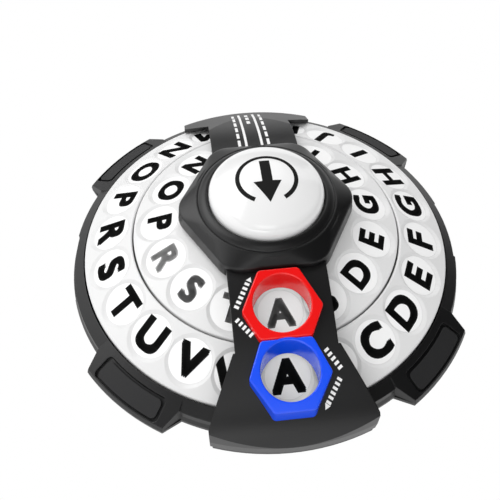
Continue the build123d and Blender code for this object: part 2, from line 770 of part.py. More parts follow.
with BuildPart() as front_arm:
    with BuildSketch(Plane.YZ):
        with BuildLine():
            Spline(*front_curve)
            Polyline(front_curve[-1], (front_curve[-1][0], foot_bottom), (0, foot_bottom),
                     (0, front_curve[0][1]), front_curve[0])
        make_face()
    extrude(amount=2 * front_foot_half_width, both=True)
    with BuildSketch(Plane.XY):
        with BuildLine():
            Polyline(*front_edge)
            Polyline(*mirrored(front_edge))
            Line(front_edge[0], (-front_edge[0][0], front_edge[0][1]))
            ThreePointArc(front_edge[-1], (0, -front_foot_radius),
                          (-front_edge[-1][0], front_edge[-1][1]))
        make_face()
    extrude(amount=2 * hub_top, mode=Mode.INTERSECT)
    with BuildSketch(Plane.XZ):
        with BuildLine():
            Polyline((0, foot_bottom), (front_foot_radius - front_foot_draft, foot_bottom),
                     (front_foot_radius, front_curve[-1][1]), (front_foot_radius, 2 * hub_top),
                     (0, 2 * hub_top), close=True)
        make_face()
    revolve(axis=Axis.Z, mode=Mode.INTERSECT)
front_arm_block = front_arm.part

with BuildPart() as wheel_sweep:
    with BuildSketch(Plane.XZ):
        with BuildLine():
            Polyline((0, 0), (guard_outer_radius + part_line, 0),
                     (guard_outer_radius + part_line, wheel_edge_height + wheel_clearance),
                     (outer_wheel_radius, wheel_edge_height + wheel_clearance),
                     (groove_radius, outer_top(groove_radius) + wheel_clearance),
                     (inner_shoulder_radius, inner_top(inner_shoulder_radius) + wheel_clearance),
                     (well_radius - well_wall, inner_top(well_radius) + wheel_clearance),
                     (0, inner_top(well_radius) + wheel_clearance), close=True)
        make_face()
    revolve(axis=Axis.Z)

with BuildPart() as front_arm_cut:
    add(front_under_space.part)
    with BuildSketch(Plane.XY):
        Circle(guard_outer_radius + part_line)
    extrude(amount=2 * hub_top, mode=Mode.INTERSECT)

with BuildPart() as front_foot_cut:
    add(front_under_space.part)
    add(front_foot_hollow.part, mode=Mode.INTERSECT)

window_hole_length = 2 * pi * window_hole_radius
red_centre = window_apothem
blue_centre = -window_apothem
window_drop = 2 * window_edge_lift

with BuildPart() as front_arm:
    add(front_arm_block)
    add(front_arm_cut.part, mode=Mode.SUBTRACT)
    add(front_foot_cut.part, mode=Mode.SUBTRACT)
    for centre in (red_centre, blue_centre + blue_hole_shift):
        with BuildSketch(window_plane(centre)):
            Circle(window_hole_radius + window_sleeve_wall + part_line)
        extrude(amount=window_drop, dir=(0, 0, -1), mode=Mode.SUBTRACT)
    with BuildSketch(Plane.XY.offset(foot_bottom)):
        with Locations(*front_boss_centres):
            Circle(screw_bore)
    extrude(amount=screw_length - base_wall, mode=Mode.SUBTRACT)
    with BuildSketch(Plane.XY.offset(front_curve[0][1] - arm_wall)):
        Circle(hub_ring_outer_radius)
        Circle(hub_ring_radius, mode=Mode.SUBTRACT)
        with BuildLine():
            Polyline((0, 0), polar(2 * well_radius, -90 - saddle_half_angle),
                     polar(2 * well_radius, -90 + saddle_half_angle), close=True)
        make_face(mode=Mode.INTERSECT)
    extrude(amount=arm_wall)
    with BuildSketch(Plane.XY.offset(front_curve[0][1] - arm_wall)):
        with Locations(*[polar(hub_screw_circle, -90 + side * hub_screw_angle) for side in (-1, 1)]):
            Circle(hub_screw_radius + screw_hole_clearance)
    extrude(amount=arm_wall, mode=Mode.SUBTRACT)
front_arm.part.label = "front_arm"
export_step(front_arm.part, "parts/front_arm.step")


def window_points(side, waist):
    """Hexagon up (side 1) or down (side -1) the slope from the shared edge, widest at its waist."""
    near = side * part_line / 2
    far = side * 2 * window_apothem
    half = [(window_joint_half_width, near), (window_corner_radius, side * waist),
            (window_corner_radius / 2, far)]
    return half + mirrored(half)


# Window frames: hexagonal bezels that stand on the front arm, with sleeves down to the wheels
with BuildPart() as arm_seat:
    with BuildSketch(Plane.YZ):
        with BuildLine():
            Spline(*[(y, z + seat_gap) for y, z in front_curve])
            Polyline((front_curve[-1][0], front_curve[-1][1] + seat_gap), (front_curve[-1][0], 0),
                     (0, 0), (0, front_curve[0][1] + seat_gap),
                     (front_curve[0][0], front_curve[0][1] + seat_gap))
        make_face()
    extrude(amount=front_foot_half_width, both=True)

with BuildPart() as red_window_frame:
    with BuildSketch(window_plane(0)) as red_hexagon:
        with BuildLine():
            Polyline(*window_points(1, red_waist), close=True)
        make_face()
        fillet(red_hexagon.vertices(), radius=window_corner_round)
    extrude(amount=window_drop, dir=(0, 0, -1))
    red_crest = red_window_frame.faces().filter_by(
        lambda face: face.normal_at().dot(window_plane(0).z_dir) > 0.999)
    fillet(red_crest.edges(), radius=window_edge_round)
    add(arm_seat.part, mode=Mode.SUBTRACT)
    with BuildSketch(window_plane(red_centre)):
        Circle(window_hole_radius + window_sleeve_wall)
    extrude(amount=window_drop, dir=(0, 0, -1))
    add(wheel_sweep.part, mode=Mode.SUBTRACT)
    with BuildSketch(Plane.XY):
        Circle(front_foot_radius)
    extrude(amount=wheel_edge_height + wheel_clearance, mode=Mode.SUBTRACT)
    with BuildSketch(window_plane(red_centre)):
        Circle(window_hole_radius)
    extrude(amount=2 * window_drop, dir=(0, 0, -1), mode=Mode.SUBTRACT)
    red_hole_edge = red_window_frame.faces().filter_by(
        lambda face: face.normal_at().dot(window_plane(0).z_dir) > 0.999).edges().filter_by(
        lambda edge: edge.length > window_hole_length * 0.9)
    fillet(red_hole_edge, radius=window_edge_round)
red_window_frame.part.label = "red_window_frame"
export_step(red_window_frame.part, "parts/red_window_frame.step")

with BuildPart() as blue_window_frame:
    with BuildSketch(window_plane(0)) as blue_hexagon:
        with BuildLine():
            Polyline(*window_points(-1, blue_waist), close=True)
        make_face()
        fillet(blue_hexagon.vertices(), radius=window_corner_round)
    extrude(amount=window_drop, dir=(0, 0, -1))
    blue_crest = blue_window_frame.faces().filter_by(
        lambda face: face.normal_at().dot(window_plane(0).z_dir) > 0.999)
    fillet(blue_crest.edges(), radius=window_edge_round)
    add(arm_seat.part, mode=Mode.SUBTRACT)
    with BuildSketch(window_plane(blue_centre + blue_hole_shift)):
        Circle(window_hole_radius + window_sleeve_wall)
    extrude(amount=window_drop, dir=(0, 0, -1))
    add(wheel_sweep.part, mode=Mode.SUBTRACT)
    with BuildSketch(Plane.XY):
        Circle(front_foot_radius)
    extrude(amount=wheel_edge_height + wheel_clearance, mode=Mode.SUBTRACT)
    with BuildSketch(window_plane(blue_centre + blue_hole_shift)):
        Circle(window_hole_radius)
    extrude(amount=2 * window_drop, dir=(0, 0, -1), mode=Mode.SUBTRACT)
    blue_hole_edge = blue_window_frame.faces().filter_by(
        lambda face: face.normal_at().dot(window_plane(0).z_dir) > 0.999).edges().filter_by(
        lambda edge: edge.length > window_hole_length * 0.9)
    fillet(blue_hole_edge, radius=window_edge_round)
blue_window_frame.part.label = "blue_window_frame"
export_step(blue_window_frame.part, "parts/blue_window_frame.step")

# Rear arm: a plate that thins over the wheels, with a saddle in the wheel's well and a wide foot
rear_edge = rear_outline(0)
saddle_outer_radius = well_radius - saddle_gap


def rear_cap(drop):
    """Cone that the rear foot's top follows, lowered by drop."""
    edge_height = wheel_edge_height - rear_foot_edge_depth - drop
    with BuildPart() as cap:
        with BuildSketch(Plane.XZ):
            with BuildLine():
                Polyline((0, 0), (rear_foot_radius + arm_foot_wall, 0),
                         (rear_foot_radius + arm_foot_wall,
                          edge_height - arm_foot_wall * rear_foot_slope),
                         (0, edge_height + rear_foot_radius * rear_foot_slope), close=True)
            make_face()
        revolve(axis=Axis.Z)
    return cap.part


with BuildPart() as rear_arm_blank:
    with BuildSketch(Plane.YZ):
        with BuildLine():
            Spline(*rear_curve)
            Polyline(rear_curve[-1], (rear_curve[-1][0], foot_bottom), (0, foot_bottom),
                     (0, rear_curve[0][1]), rear_curve[0])
        make_face()
    extrude(amount=2 * rear_foot_half_width, both=True)
    with BuildSketch(Plane.XY):
        with BuildLine():
            Polyline(*rear_edge)
            Polyline(*mirrored(rear_edge))
            Line(rear_edge[0], (-rear_edge[0][0], rear_edge[0][1]))
            ThreePointArc(rear_edge[-1], (0, rear_foot_radius), (-rear_edge[-1][0], rear_edge[-1][1]))
        make_face()
    extrude(amount=2 * hub_top, mode=Mode.INTERSECT)
    add(rear_cap(0), mode=Mode.INTERSECT)

with BuildPart() as rear_under_space:
    with BuildSketch(Plane.YZ):
        with BuildLine():
            Spline(*rear_under)
            Polyline(rear_under[-1], (rear_under[-1][0], 0), (0, 0), (0, rear_under[0][1]),
                     rear_under[0])
        make_face()
    extrude(amount=2 * rear_foot_half_width, both=True)
    add(rear_cap(arm_wall), mode=Mode.INTERSECT)

with BuildPart() as rear_wheel_cut:
    add(rear_under_space.part)
    with BuildSketch(Plane.XY):
        Circle(guard_outer_radius + part_line)
    extrude(amount=2 * hub_top, mode=Mode.INTERSECT)

with BuildPart() as rear_foot_cut:
    add(rear_under_space.part)
    with BuildSketch(Plane.XY.offset(foot_bottom)):
        Circle(rear_foot_radius - arm_foot_wall)
        Circle(guard_outer_radius + part_line, mode=Mode.SUBTRACT)
        with BuildLine():
            Polyline((0, 0), (-rear_foot_half_width + arm_foot_wall, rear_flare_y),
                     (-rear_foot_half_width + arm_foot_wall, rear_foot_radius),
                     (rear_foot_half_width - arm_foot_wall, rear_foot_radius),
                     (rear_foot_half_width - arm_foot_wall, rear_flare_y), close=True)
        make_face(mode=Mode.INTERSECT)
        with Locations(*rear_boss_centres):
            Circle(screw_head_radius, mode=Mode.SUBTRACT)
    extrude(amount=2 * rim_depth, mode=Mode.INTERSECT)

rear_hub_top = rear_curve[0][1]
saddle_bottom = cup_bottom + saddle_rise
with BuildPart() as rear_arm:
    add(rear_arm_blank.part)
    add(rear_wheel_cut.part, mode=Mode.SUBTRACT)
    add(rear_foot_cut.part, mode=Mode.SUBTRACT)
    add(wheel_sweep.part, mode=Mode.SUBTRACT)
    with BuildSketch(Plane.XY.offset(saddle_bottom)):
        Circle(saddle_outer_radius)
        Circle(hub_ring_radius, mode=Mode.SUBTRACT)
        with BuildLine():
            Polyline((0, 0), polar(2 * well_radius, 90 - saddle_half_angle),
                     polar(2 * well_radius, 90 + saddle_half_angle), close=True)
        make_face(mode=Mode.INTERSECT)
    extrude(amount=rear_hub_top - saddle_bottom)
    with BuildSketch(Plane.XY.offset(foot_bottom)):
        with Locations(*rear_boss_centres):
            Circle(screw_bore)
    extrude(amount=rear_screw_depth, mode=Mode.SUBTRACT)
    with BuildSketch(Plane.XY.offset(saddle_bottom)):
        with Locations(*[polar(hub_screw_circle, 90 + side * hub_screw_angle) for side in (-1, 1)]):
            Circle(hub_screw_radius + screw_hole_clearance)
    extrude(amount=rear_hub_top, mode=Mode.SUBTRACT)
rear_arm.part.label = "rear_arm"
export_step(rear_arm.part, "parts/rear_arm.step")

# Hub frame: the cup below the button, with a flange that joins the two arms
hub_flange_bottom = rear_hub_top + seat_gap
front_hub_bottom = front_curve[0][1] - arm_wall
hub_flange_top = front_hub_bottom - seat_gap
with BuildPart() as hub_frame:
    with BuildSketch(Plane.XZ):
        with BuildLine():
            Polyline((bar_hole_radius, cup_bottom), (cup_outer_radius, cup_bottom),
                     (cup_outer_radius, hub_flange_bottom), (hub_ring_outer_radius, hub_flange_bottom),
                     (hub_ring_outer_radius, hub_flange_top), (cup_outer_radius, hub_flange_top),
                     (cup_outer_radius, cup_top), (cup_bore_radius, cup_top),
                     (cup_bore_radius, cup_floor_top), (bar_hole_radius, cup_floor_top), close=True)
        make_face()
    revolve(axis=Axis.Z)
    with BuildSketch(Plane.XY.offset(cup_floor_top)):
        with PolarLocations(cup_bore_radius, guide_count):
            Rectangle(2 * guide_depth, guide_width)
        Circle(cup_bore_radius + cup_wall / 2, mode=Mode.INTERSECT)
    extrude(amount=cup_top - cup_floor_top)
    with BuildSketch(Plane.XY.offset(hub_flange_bottom)):
        for turn in (90, -90):
            with Locations(*[polar(hub_screw_circle, turn + side * hub_screw_angle)
                             for side in (-1, 1)]):
                Circle(hub_screw_radius + screw_hole_clearance)
    extrude(amount=hub_flange_top - hub_flange_bottom, mode=Mode.SUBTRACT)
hub_frame.part.label = "hub_frame"
export_step(hub_frame.part, "parts/hub_frame.step")


def hexagon(height, apothem, corner):
    """Rounded hexagon with flat sides to the front and rear."""
    with BuildSketch(Plane.XY.offset(height)) as outline:
        RegularPolygon(apothem, 6, major_radius=False, rotation=0)
        fillet(outline.vertices(), radius=corner)
    return outline.sketch.faces()[0]


# Hub cover: a hollow hexagonal cap that blends into the round collar
edge_apothem = hub_apothem - hub_draft_run
crown_apothem = hub_apothem - hub_taper_run
hub_outer_side = Solid.make_loft([hexagon(hub_bottom, hub_apothem, hub_corner_round).outer_wire(),
                                  hexagon(hub_edge_height, edge_apothem, hub_corner_round).outer_wire()],
                                 True)
hub_outer_crown = Solid.make_loft([hexagon(hub_edge_height, edge_apothem, hub_corner_round).outer_wire(),
                                   hexagon(hub_top, crown_apothem, 0.97 * crown_apothem).outer_wire()],
                                  True)
hub_inner_side = Solid.make_loft([hexagon(hub_bottom, hub_apothem - hub_wall,
                                          hub_corner_round - hub_wall).outer_wire(),
                                  hexagon(hub_edge_height - 1, edge_apothem - hub_wall,
                                          hub_corner_round - hub_wall).outer_wire()], True)
hub_inner_crown = Solid.make_loft([hexagon(hub_edge_height - 1, edge_apothem - hub_wall,
                                           hub_corner_round - hub_wall).outer_wire(),
                                   hexagon(hub_top - hub_wall, hub_ring_outer_radius - 1,
                                           0.97 * (hub_ring_outer_radius - 1)).outer_wire()], True)

with BuildPart() as front_tongue_space:
    with BuildSketch(Plane.YZ):
        with BuildLine():
            Spline(*[(y, z + part_line) for y, z in front_curve])
            Polyline((front_curve[-1][0], front_curve[-1][1] + part_line), (front_curve[-1][0], 0),
                     (0, 0), (0, front_curve[0][1] + part_line),
                     (front_curve[0][0], front_curve[0][1] + part_line))
        make_face()
    extrude(amount=arm_half_width + part_line, both=True)

with BuildPart() as hub_cover:
    add(hub_outer_side)
    add(hub_outer_crown)
    add(hub_inner_side, mode=Mode.SUBTRACT)
    add(hub_inner_crown, mode=Mode.SUBTRACT)
    with BuildSketch(Plane.XY.offset(hub_flange_top + seat_gap)):
        Circle(hub_ring_outer_radius)
    extrude(amount=hub_top - hub_wall / 2 - hub_flange_top)
    with BuildSketch(Plane.XY.offset(hub_bottom)):
        Circle(hub_ring_inner_radius)
    extrude(amount=hub_edge_height - hub_bottom, mode=Mode.SUBTRACT)
    with BuildSketch(Plane.XY.offset(hub_bottom)):
        Circle(collar_outer_radius + seat_gap)
    extrude(amount=hub_top, mode=Mode.SUBTRACT)
    add(front_tongue_space.part, mode=Mode.SUBTRACT)
hub_cover.part.label = "hub_cover"
export_step(hub_cover.part, "parts/hub_cover.step")

# Collar ring: a round bezel that keeps the button in its cup
collar_bore = button_radius + button_gap
with BuildPart() as collar_ring:
    with BuildSketch(Plane.XZ):
        with BuildLine():
            Polyline((collar_outer_radius, hub_top), (collar_outer_radius, collar_bottom),
                     (collar_bore, collar_bottom), (collar_bore, collar_top - collar_lip))
            ThreePointArc((collar_bore, collar_top - collar_lip),
                          (collar_bore + collar_lip * 0.35, collar_top - collar_lip * 0.3),
                          (collar_bore + collar_lip, collar_top))
            ThreePointArc((collar_bore + collar_lip, collar_top),
                          ((collar_bore + collar_lip + collar_outer_radius) / 2,
                           hub_top + (collar_top - hub_top) * 0.72),
                          (collar_outer_radius, hub_top))
        make_face()
    revolve(axis=Axis.Z)
collar_ring.part.label = "collar_ring"
export_step(collar_ring.part, "parts/collar_ring.step")

# Dome button: an elliptical shell with a skirt and a flange that hooks under the collar
shoulder_centre = (button_radius - dome_shoulder_radius, dome_base)
crown_radius = ((button_radius ** 2 + button_rise ** 2) / 2 - button_radius * dome_shoulder_radius)
crown_radius /= button_rise - dome_shoulder_radius
crown_centre = (0, dome_top - crown_radius)
shoulder_angle = degrees(atan((shoulder_centre[1] - crown_centre[1]) / shoulder_centre[0]))


def dome_point(centre, radius, angle):
    x, y = polar(radius, angle)
    return (centre[0] + x, centre[1] + y)


with BuildPart() as push_dome:
    with BuildSketch(Plane.XZ):
        for depth, mode in ((0.0, Mode.ADD), (button_wall, Mode.SUBTRACT)):
            crown = crown_radius - depth
            shoulder = dome_shoulder_radius - depth
            side = button_radius - depth
            with BuildLine():
                ThreePointArc((0, dome_top - depth),
                              dome_point(crown_centre, crown, (90 + shoulder_angle) / 2),
                              dome_point(crown_centre, crown, shoulder_angle))
                ThreePointArc(dome_point(crown_centre, crown, shoulder_angle),
                              dome_point(shoulder_centre, shoulder, shoulder_angle / 2),
                              (side, dome_base))
                Polyline((side, dome_base), (side, skirt_end), (0, skirt_end), (0, dome_top - depth))
            make_face(mode=mode)
    revolve(axis=Axis.Z)
    with BuildSketch(Plane.XY.offset(skirt_end)):
        Circle(button_flange_radius)
        Circle(button_radius - button_wall, mode=Mode.SUBTRACT)
        with PolarLocations(cup_bore_radius, guide_count):
            Rectangle(2 * (guide_depth + slide_fit), guide_width + 2 * slide_fit,
                      mode=Mode.SUBTRACT)
    extrude(amount=button_flange_height)
push_dome.part.label = "push_dome"
export_step(push_dome.part, "parts/push_dome.step")

# Plunger: a disc pressed into the dome, with a long boss for the drive bar
bar_corner_radius = hypot(bar_width, bar_thickness) / 2
with BuildPart() as plunger:
    with BuildSketch(Plane.XZ):
        with BuildLine():
            Polyline((bar_corner_radius + seat_gap, plunger_bottom),
                     (plunger_boss_radius, plunger_bottom), (plunger_boss_radius, disc_bottom),
                     (button_radius - button_wall - seat_gap, disc_bottom),
                     (button_radius - button_wall - seat_gap, disc_bottom + plunger_disc),
                     (plunger_boss_radius, disc_bottom + plunger_disc),
                     (plunger_boss_radius, boss_top), (screw_bore, boss_top), (screw_bore, bar_top),
                     (bar_corner_radius + seat_gap, bar_top), close=True)
        make_face()
    revolve(axis=Axis.Z)
plunger.part.label = "plunger"
export_step(plunger.part, "parts/plunger.step")


def twisted_bar(width, thickness, bottom, top):
    """Bar of rectangular section that turns with its height at the drive's lead."""
    start = (bottom - bar_bottom) * twist_per_mm
    section = Face.make_rect(width, thickness, Plane(origin=(0, 0, bottom), z_dir=(0, 0, 1)))
    section = section.rotate(Axis.Z, start)
    return Solid.extrude_linear_with_rotation(section, (0, 0, bottom), (0, 0, top - bottom),
                                              (top - bottom) * twist_per_mm)


# Drive bar: a round shank in the plunger and a twisted blade below it
with BuildPart() as drive_bar:
    add(twisted_bar(bar_width, bar_thickness, bar_bottom, plunger_bottom + blade_root))
    with BuildSketch(Plane.XY.offset(plunger_bottom)):
        Circle(bar_corner_radius)
    extrude(amount=bar_top - seat_gap - plunger_bottom)
    with BuildSketch(Plane.XY.offset(bar_top - bar_screw_grip)):
        Circle(screw_bore)
    extrude(amount=bar_screw_grip, mode=Mode.SUBTRACT)
drive_bar.part.label = "drive_bar"
export_step(drive_bar.part, "parts/drive_bar.step")

# Return spring between the cup's floor and the plunger's disc
spring_bottom = cup_floor_top + seat_gap
spring_top = disc_bottom - seat_gap
coil_height = spring_top - spring_bottom - spring_wire
with BuildPart() as return_spring:
    with BuildLine() as coil:
        Helix(coil_height / spring_turns, coil_height, spring_radius,
              center=(0, 0, spring_bottom + spring_wire / 2))
    with BuildSketch(Plane(origin=coil.line @ 0, z_dir=coil.line % 0)):
        Circle(spring_wire / 2)
    sweep()
return_spring.part.label = "return_spring"
export_step(return_spring.part, "parts/return_spring.step")

# Centre post: the fixed tube that the drive turns on, screwed to the floor
with BuildPart() as centre_post:
    with BuildSketch(Plane.XZ):
        with BuildLine():
            Polyline((screw_bore, floor_top), (post_flange_radius, floor_top),
                     (post_flange_radius, floor_top + base_wall), (post_radius, floor_top + base_wall),
                     (post_radius, post_top), (post_bore_radius, post_top),
                     (post_bore_radius, post_floor), (screw_bore, post_floor), close=True)
        make_face()
    revolve(axis=Axis.Z)
centre_post.part.label = "centre_post"
export_step(centre_post.part, "parts/centre_post.step")

# Drive sleeve: a tube with a top flange; it turns a quarter turn with each push
sleeve_bore = post_radius + running_fit
pawl_top = wheel_hub_top + body_gap + pawl_disc_thickness
lower_pawl_bottom = gear_bottom + web_thickness + body_gap
with BuildPart() as drive_sleeve:
    with BuildSketch(Plane.XZ):
        with BuildLine():
            Polyline((sleeve_bore, lower_pawl_bottom), (sleeve_radius, lower_pawl_bottom),
                     (sleeve_radius, pawl_top + seat_gap), (sleeve_flange_radius, pawl_top + seat_gap),
                     (sleeve_flange_radius, nut_bottom - seat_gap), (sleeve_bore, nut_bottom - seat_gap),
                     close=True)
        make_face()
    revolve(axis=Axis.Z)
    with BuildSketch(Plane.XY.offset(pawl_top)):
        with PolarLocations(nut_screw_circle, 2):
            Circle(hub_screw_radius + screw_hole_clearance)
    extrude(amount=nut_bottom - pawl_top, mode=Mode.SUBTRACT)
drive_sleeve.part.label = "drive_sleeve"
export_step(drive_sleeve.part, "parts/drive_sleeve.step")

# Drive nut: the slotted disc that the twisted bar turns
with BuildPart() as drive_nut:
    with BuildSketch(Plane.XY.offset(nut_bottom)):
        Circle(sleeve_flange_radius)
        with PolarLocations(nut_screw_circle, 2):
            Circle(hub_screw_radius + screw_hole_clearance, mode=Mode.SUBTRACT)
    extrude(amount=nut_thickness)
    add(twisted_bar(bar_width + 2 * bar_slot_clearance, bar_thickness + 2 * bar_slot_clearance,
                    nut_bottom - 0.5, sleeve_top + 0.5), mode=Mode.SUBTRACT)
drive_nut.part.label = "drive_nut"
export_step(drive_nut.part, "parts/drive_nut.step")

# Two nut screws hold the drive nut on the sleeve's flange
for index, name in enumerate(("nut_screw_left", "nut_screw_right")):
    with BuildPart() as nut_screw:
        with BuildSketch(Plane.XY.offset(pawl_top + seat_gap)):
            with Locations(polar(nut_screw_circle, 180 * (1 - index))):
                Circle(hub_screw_radius)
        extrude(amount=sleeve_top + seat_gap - pawl_top - seat_gap)
        with BuildSketch(Plane.XY.offset(sleeve_top + seat_gap)):
            with Locations(polar(nut_screw_circle, 180 * (1 - index))):
                Circle(hub_screw_radius + small_head_overhang)
        extrude(amount=small_head_height)
    nut_screw.part.label = name
    export_step(nut_screw.part, f"parts/{name}.step")


def pawl_sketch(bore, ring, reach):
    """Flat disc with springy arms whose tips stop just short of a ratchet of radius reach."""
    tip = reach - body_gap
    with BuildSketch() as outline:
        Circle(ring)
        for index in range(pawl_count):
            turn = index * 360 / pawl_count
            with BuildLine():
                Polyline(polar(ring - 0.5, turn), polar(tip, turn + pawl_sweep),
                         polar(tip, turn + pawl_sweep - degrees(pawl_width / tip)),
                         polar(ring - 0.5, turn - degrees(pawl_width / ring)), close=True)
            make_face()
        Circle(bore, mode=Mode.SUBTRACT)
    return outline.sketch


# Upper pawl disc: drives the inner wheel's ratchet ring one way
with BuildPart() as upper_pawl_disc:
    with BuildSketch(Plane.XY.offset(wheel_hub_top + body_gap)):
        add(pawl_sketch(sleeve_radius + seat_gap, pawl_ring_radius, ratchet_radius))
    extrude(amount=pawl_disc_thickness)
upper_pawl_disc.part.label = "upper_pawl_disc"
export_step(upper_pawl_disc.part, "parts/upper_pawl_disc.step")

# Lower pawl disc: drives the sun gear, and carries the inner wheel on its long hub
with BuildPart() as lower_pawl_disc:
    with BuildSketch(Plane.XY.offset(lower_pawl_bottom)):
        add(pawl_sketch(sleeve_radius + seat_gap, pawl_ring_radius, lower_ratchet_radius))
    extrude(amount=pawl_disc_thickness)
    with BuildSketch(Plane.XY.offset(lower_pawl_bottom)):
        Circle(pawl_ring_radius)
        Circle(sleeve_radius + seat_gap, mode=Mode.SUBTRACT)
    extrude(amount=wheel_hub_bottom - body_gap - lower_pawl_bottom)
lower_pawl_disc.part.label = "lower_pawl_disc"
export_step(lower_pawl_disc.part, "parts/lower_pawl_disc.step")

# Gear train: sun gear on the post, three idlers, and a ring gear in the outer wheel's skirt
with BuildPart() as sun_gear:
    with BuildSketch(Plane.XY.offset(gear_bottom)):
        with BuildLine():
            Polyline(*gear_points(sun_teeth, gear_module, 0.0, tooth_backlash / 2), close=True)
        make_face()
        Circle(sleeve_bore, mode=Mode.SUBTRACT)
    extrude(amount=gear_face)
    with BuildSketch(Plane.XY.offset(gear_bottom + web_thickness)):
        with BuildLine():
            Polyline(*ratchet_points(lower_ratchet_radius, ratchet_tooth_depth), close=True)
        make_face()
    extrude(amount=gear_face, mode=Mode.SUBTRACT)
sun_gear.part.label = "sun_gear"
export_step(sun_gear.part, "parts/sun_gear.step")

with BuildPart() as ring_gear:
    with BuildSketch(Plane.XY.offset(gear_bottom)):
        Circle(ring_gear_outer_radius)
        with BuildLine():
            Polyline(*internal_gear_points(ring_teeth, gear_module), close=True)
        make_face(mode=Mode.SUBTRACT)
    extrude(amount=gear_face)
ring_gear.part.label = "ring_gear"
export_step(ring_gear.part, "parts/ring_gear.step")

for index, angle in enumerate(idler_angles):
    name = f"idler_gear_{index + 1}"
    half_step = 180 / idler_teeth
    with BuildPart() as idler_gear:
        with BuildSketch(Plane(origin=(*polar(idler_circle, angle), gear_bottom))):
            with BuildLine():
                Polyline(*gear_points(idler_teeth, gear_module, angle + half_step,
                                      tooth_backlash / 2), close=True)
            make_face()
            Circle(idler_pin_radius + running_fit, mode=Mode.SUBTRACT)
        extrude(amount=gear_face)
    idler_gear.part.label = name
    export_step(idler_gear.part, f"parts/{name}.step")

    name = f"idler_pin_{index + 1}"
    with BuildPart() as idler_pin:
        with BuildSketch(Plane.XY.offset(floor_top)):
            with Locations(polar(idler_circle, angle)):
                Circle(idler_pin_radius)
        extrude(amount=gear_top + body_gap - floor_top)
        with BuildSketch(Plane.XY.offset(gear_top + body_gap)):
            with Locations(polar(idler_circle, angle)):
                Circle(idler_boss_radius)
        extrude(amount=pin_head_height)
    idler_pin.part.label = name
    export_step(idler_pin.part, f"parts/{name}.step")

ring_tip_radius = ring_pitch_radius - ring_tip_share * gear_module

# Click springs: leaf springs whose noses stand just clear of the wheels' notches
click_places = {
    "outer_click_spring": (outer_wheel_radius - wheel_edge_wall, wheel_edge_height - wheel_edge_depth,
                           outer_click_angle, skirt_guard_radius + body_gap + click_foot_length),
    "inner_click_spring": (inner_lip_inner, inner_top(inner_wheel_edge) - inner_lip_depth,
                           inner_click_angle, ring_tip_radius - inner_click_gap - click_thickness),
}
for name, (notch_radius, notch_height, angle, leaf_radius) in click_places.items():
    nose_radius = notch_radius - body_gap - click_tip_radius
    nose_top = notch_height + click_nose_height
    with BuildPart() as click_spring:
        with BuildSketch(Plane.XZ):
            with BuildLine():
                Polyline((leaf_radius - click_foot_length, floor_top + seat_gap),
                         (leaf_radius + click_thickness, floor_top + seat_gap),
                         (leaf_radius + click_thickness, nose_top - click_thickness),
                         (nose_radius, nose_top - click_thickness), (nose_radius, nose_top),
                         (leaf_radius, nose_top), (leaf_radius, floor_top + seat_gap + click_thickness),
                         (leaf_radius - click_foot_length, floor_top + seat_gap + click_thickness),
                         close=True)
            make_face()
        extrude(amount=click_width / 2, both=True)
        with BuildSketch(Plane.XY.offset(notch_height)):
            with Locations((nose_radius, 0)):
                Circle(click_tip_radius)
        extrude(amount=click_nose_height)
    with BuildPart() as click_placed:
        with PolarLocations(0, 1, start_angle=angle):
            add(click_spring.part)
    click_placed.part.label = name
    export_step(click_placed.part, f"parts/{name}.step")

# Screws: four in the lobes, four in the arm feet, four in the hub flange, two on the axis
case_screw_length = base_wall + case_screw_depth
screw_places = {}
for name, centre in zip(("rear_right", "rear_left", "front_left", "front_right"), case_screw_centres):
    screw_places[f"case_screw_{name}"] = (centre, case_screw_length)
for name, centre in zip(("left", "right"), front_boss_centres):
    screw_places[f"front_foot_screw_{name}"] = (centre, screw_length)
for name, centre in zip(("right", "left"), rear_boss_centres):
    screw_places[f"rear_foot_screw_{name}"] = (centre, screw_length)
for name, (centre, length) in screw_places.items():
    with BuildPart() as case_screw:
        with BuildSketch(Plane.XY.offset(flange_bottom - seat_gap)):
            with Locations(centre):
                Circle(screw_radius)
        extrude(amount=length)
        with BuildSketch(Plane.XY.offset(flange_bottom - seat_gap)):
            with Locations(centre):
                Circle(screw_head_radius)
        extrude(amount=-screw_head_height)
    case_screw.part.label = name
    export_step(case_screw.part, f"parts/{name}.step")

for turn, place, seat in ((90, "rear", hub_flange_top), (-90, "front", front_curve[0][1])):
    for side, name in ((-1, "a"), (1, "b")):
        centre = polar(hub_screw_circle, turn + side * hub_screw_angle)
        with BuildPart() as hub_screw:
            with BuildSketch(Plane.XY.offset(seat + seat_gap)):
                with Locations(centre):
                    Circle(hub_screw_radius)
            extrude(amount=-hub_screw_length)
            with BuildSketch(Plane.XY.offset(seat + seat_gap)):
                with Locations(centre):
                    Circle(hub_screw_radius + small_head_overhang)
            extrude(amount=small_head_height)
        hub_screw.part.label = f"hub_screw_{place}_{name}"
        export_step(hub_screw.part, f"parts/hub_screw_{place}_{name}.step")

with BuildPart() as bar_screw:
    with BuildSketch(Plane.XY.offset(boss_top + seat_gap)):
        Circle(screw_head_radius)
    extrude(amount=small_head_height)
    with BuildSketch(Plane.XY.offset(boss_top + seat_gap)):
        Circle(screw_radius)
    extrude(amount=bar_top - bar_screw_grip + seat_gap - boss_top)
bar_screw.part.label = "bar_screw"
export_step(bar_screw.part, "parts/bar_screw.step")

with BuildPart() as post_screw:
    with BuildSketch(Plane.XY.offset(post_floor + seat_gap)):
        Circle(screw_head_radius)
    extrude(amount=small_head_height)
    with BuildSketch(Plane.XY.offset(post_floor + seat_gap)):
        Circle(screw_radius)
    extrude(amount=foot_height - post_floor)
post_screw.part.label = "post_screw"
export_step(post_screw.part, "parts/post_screw.step")

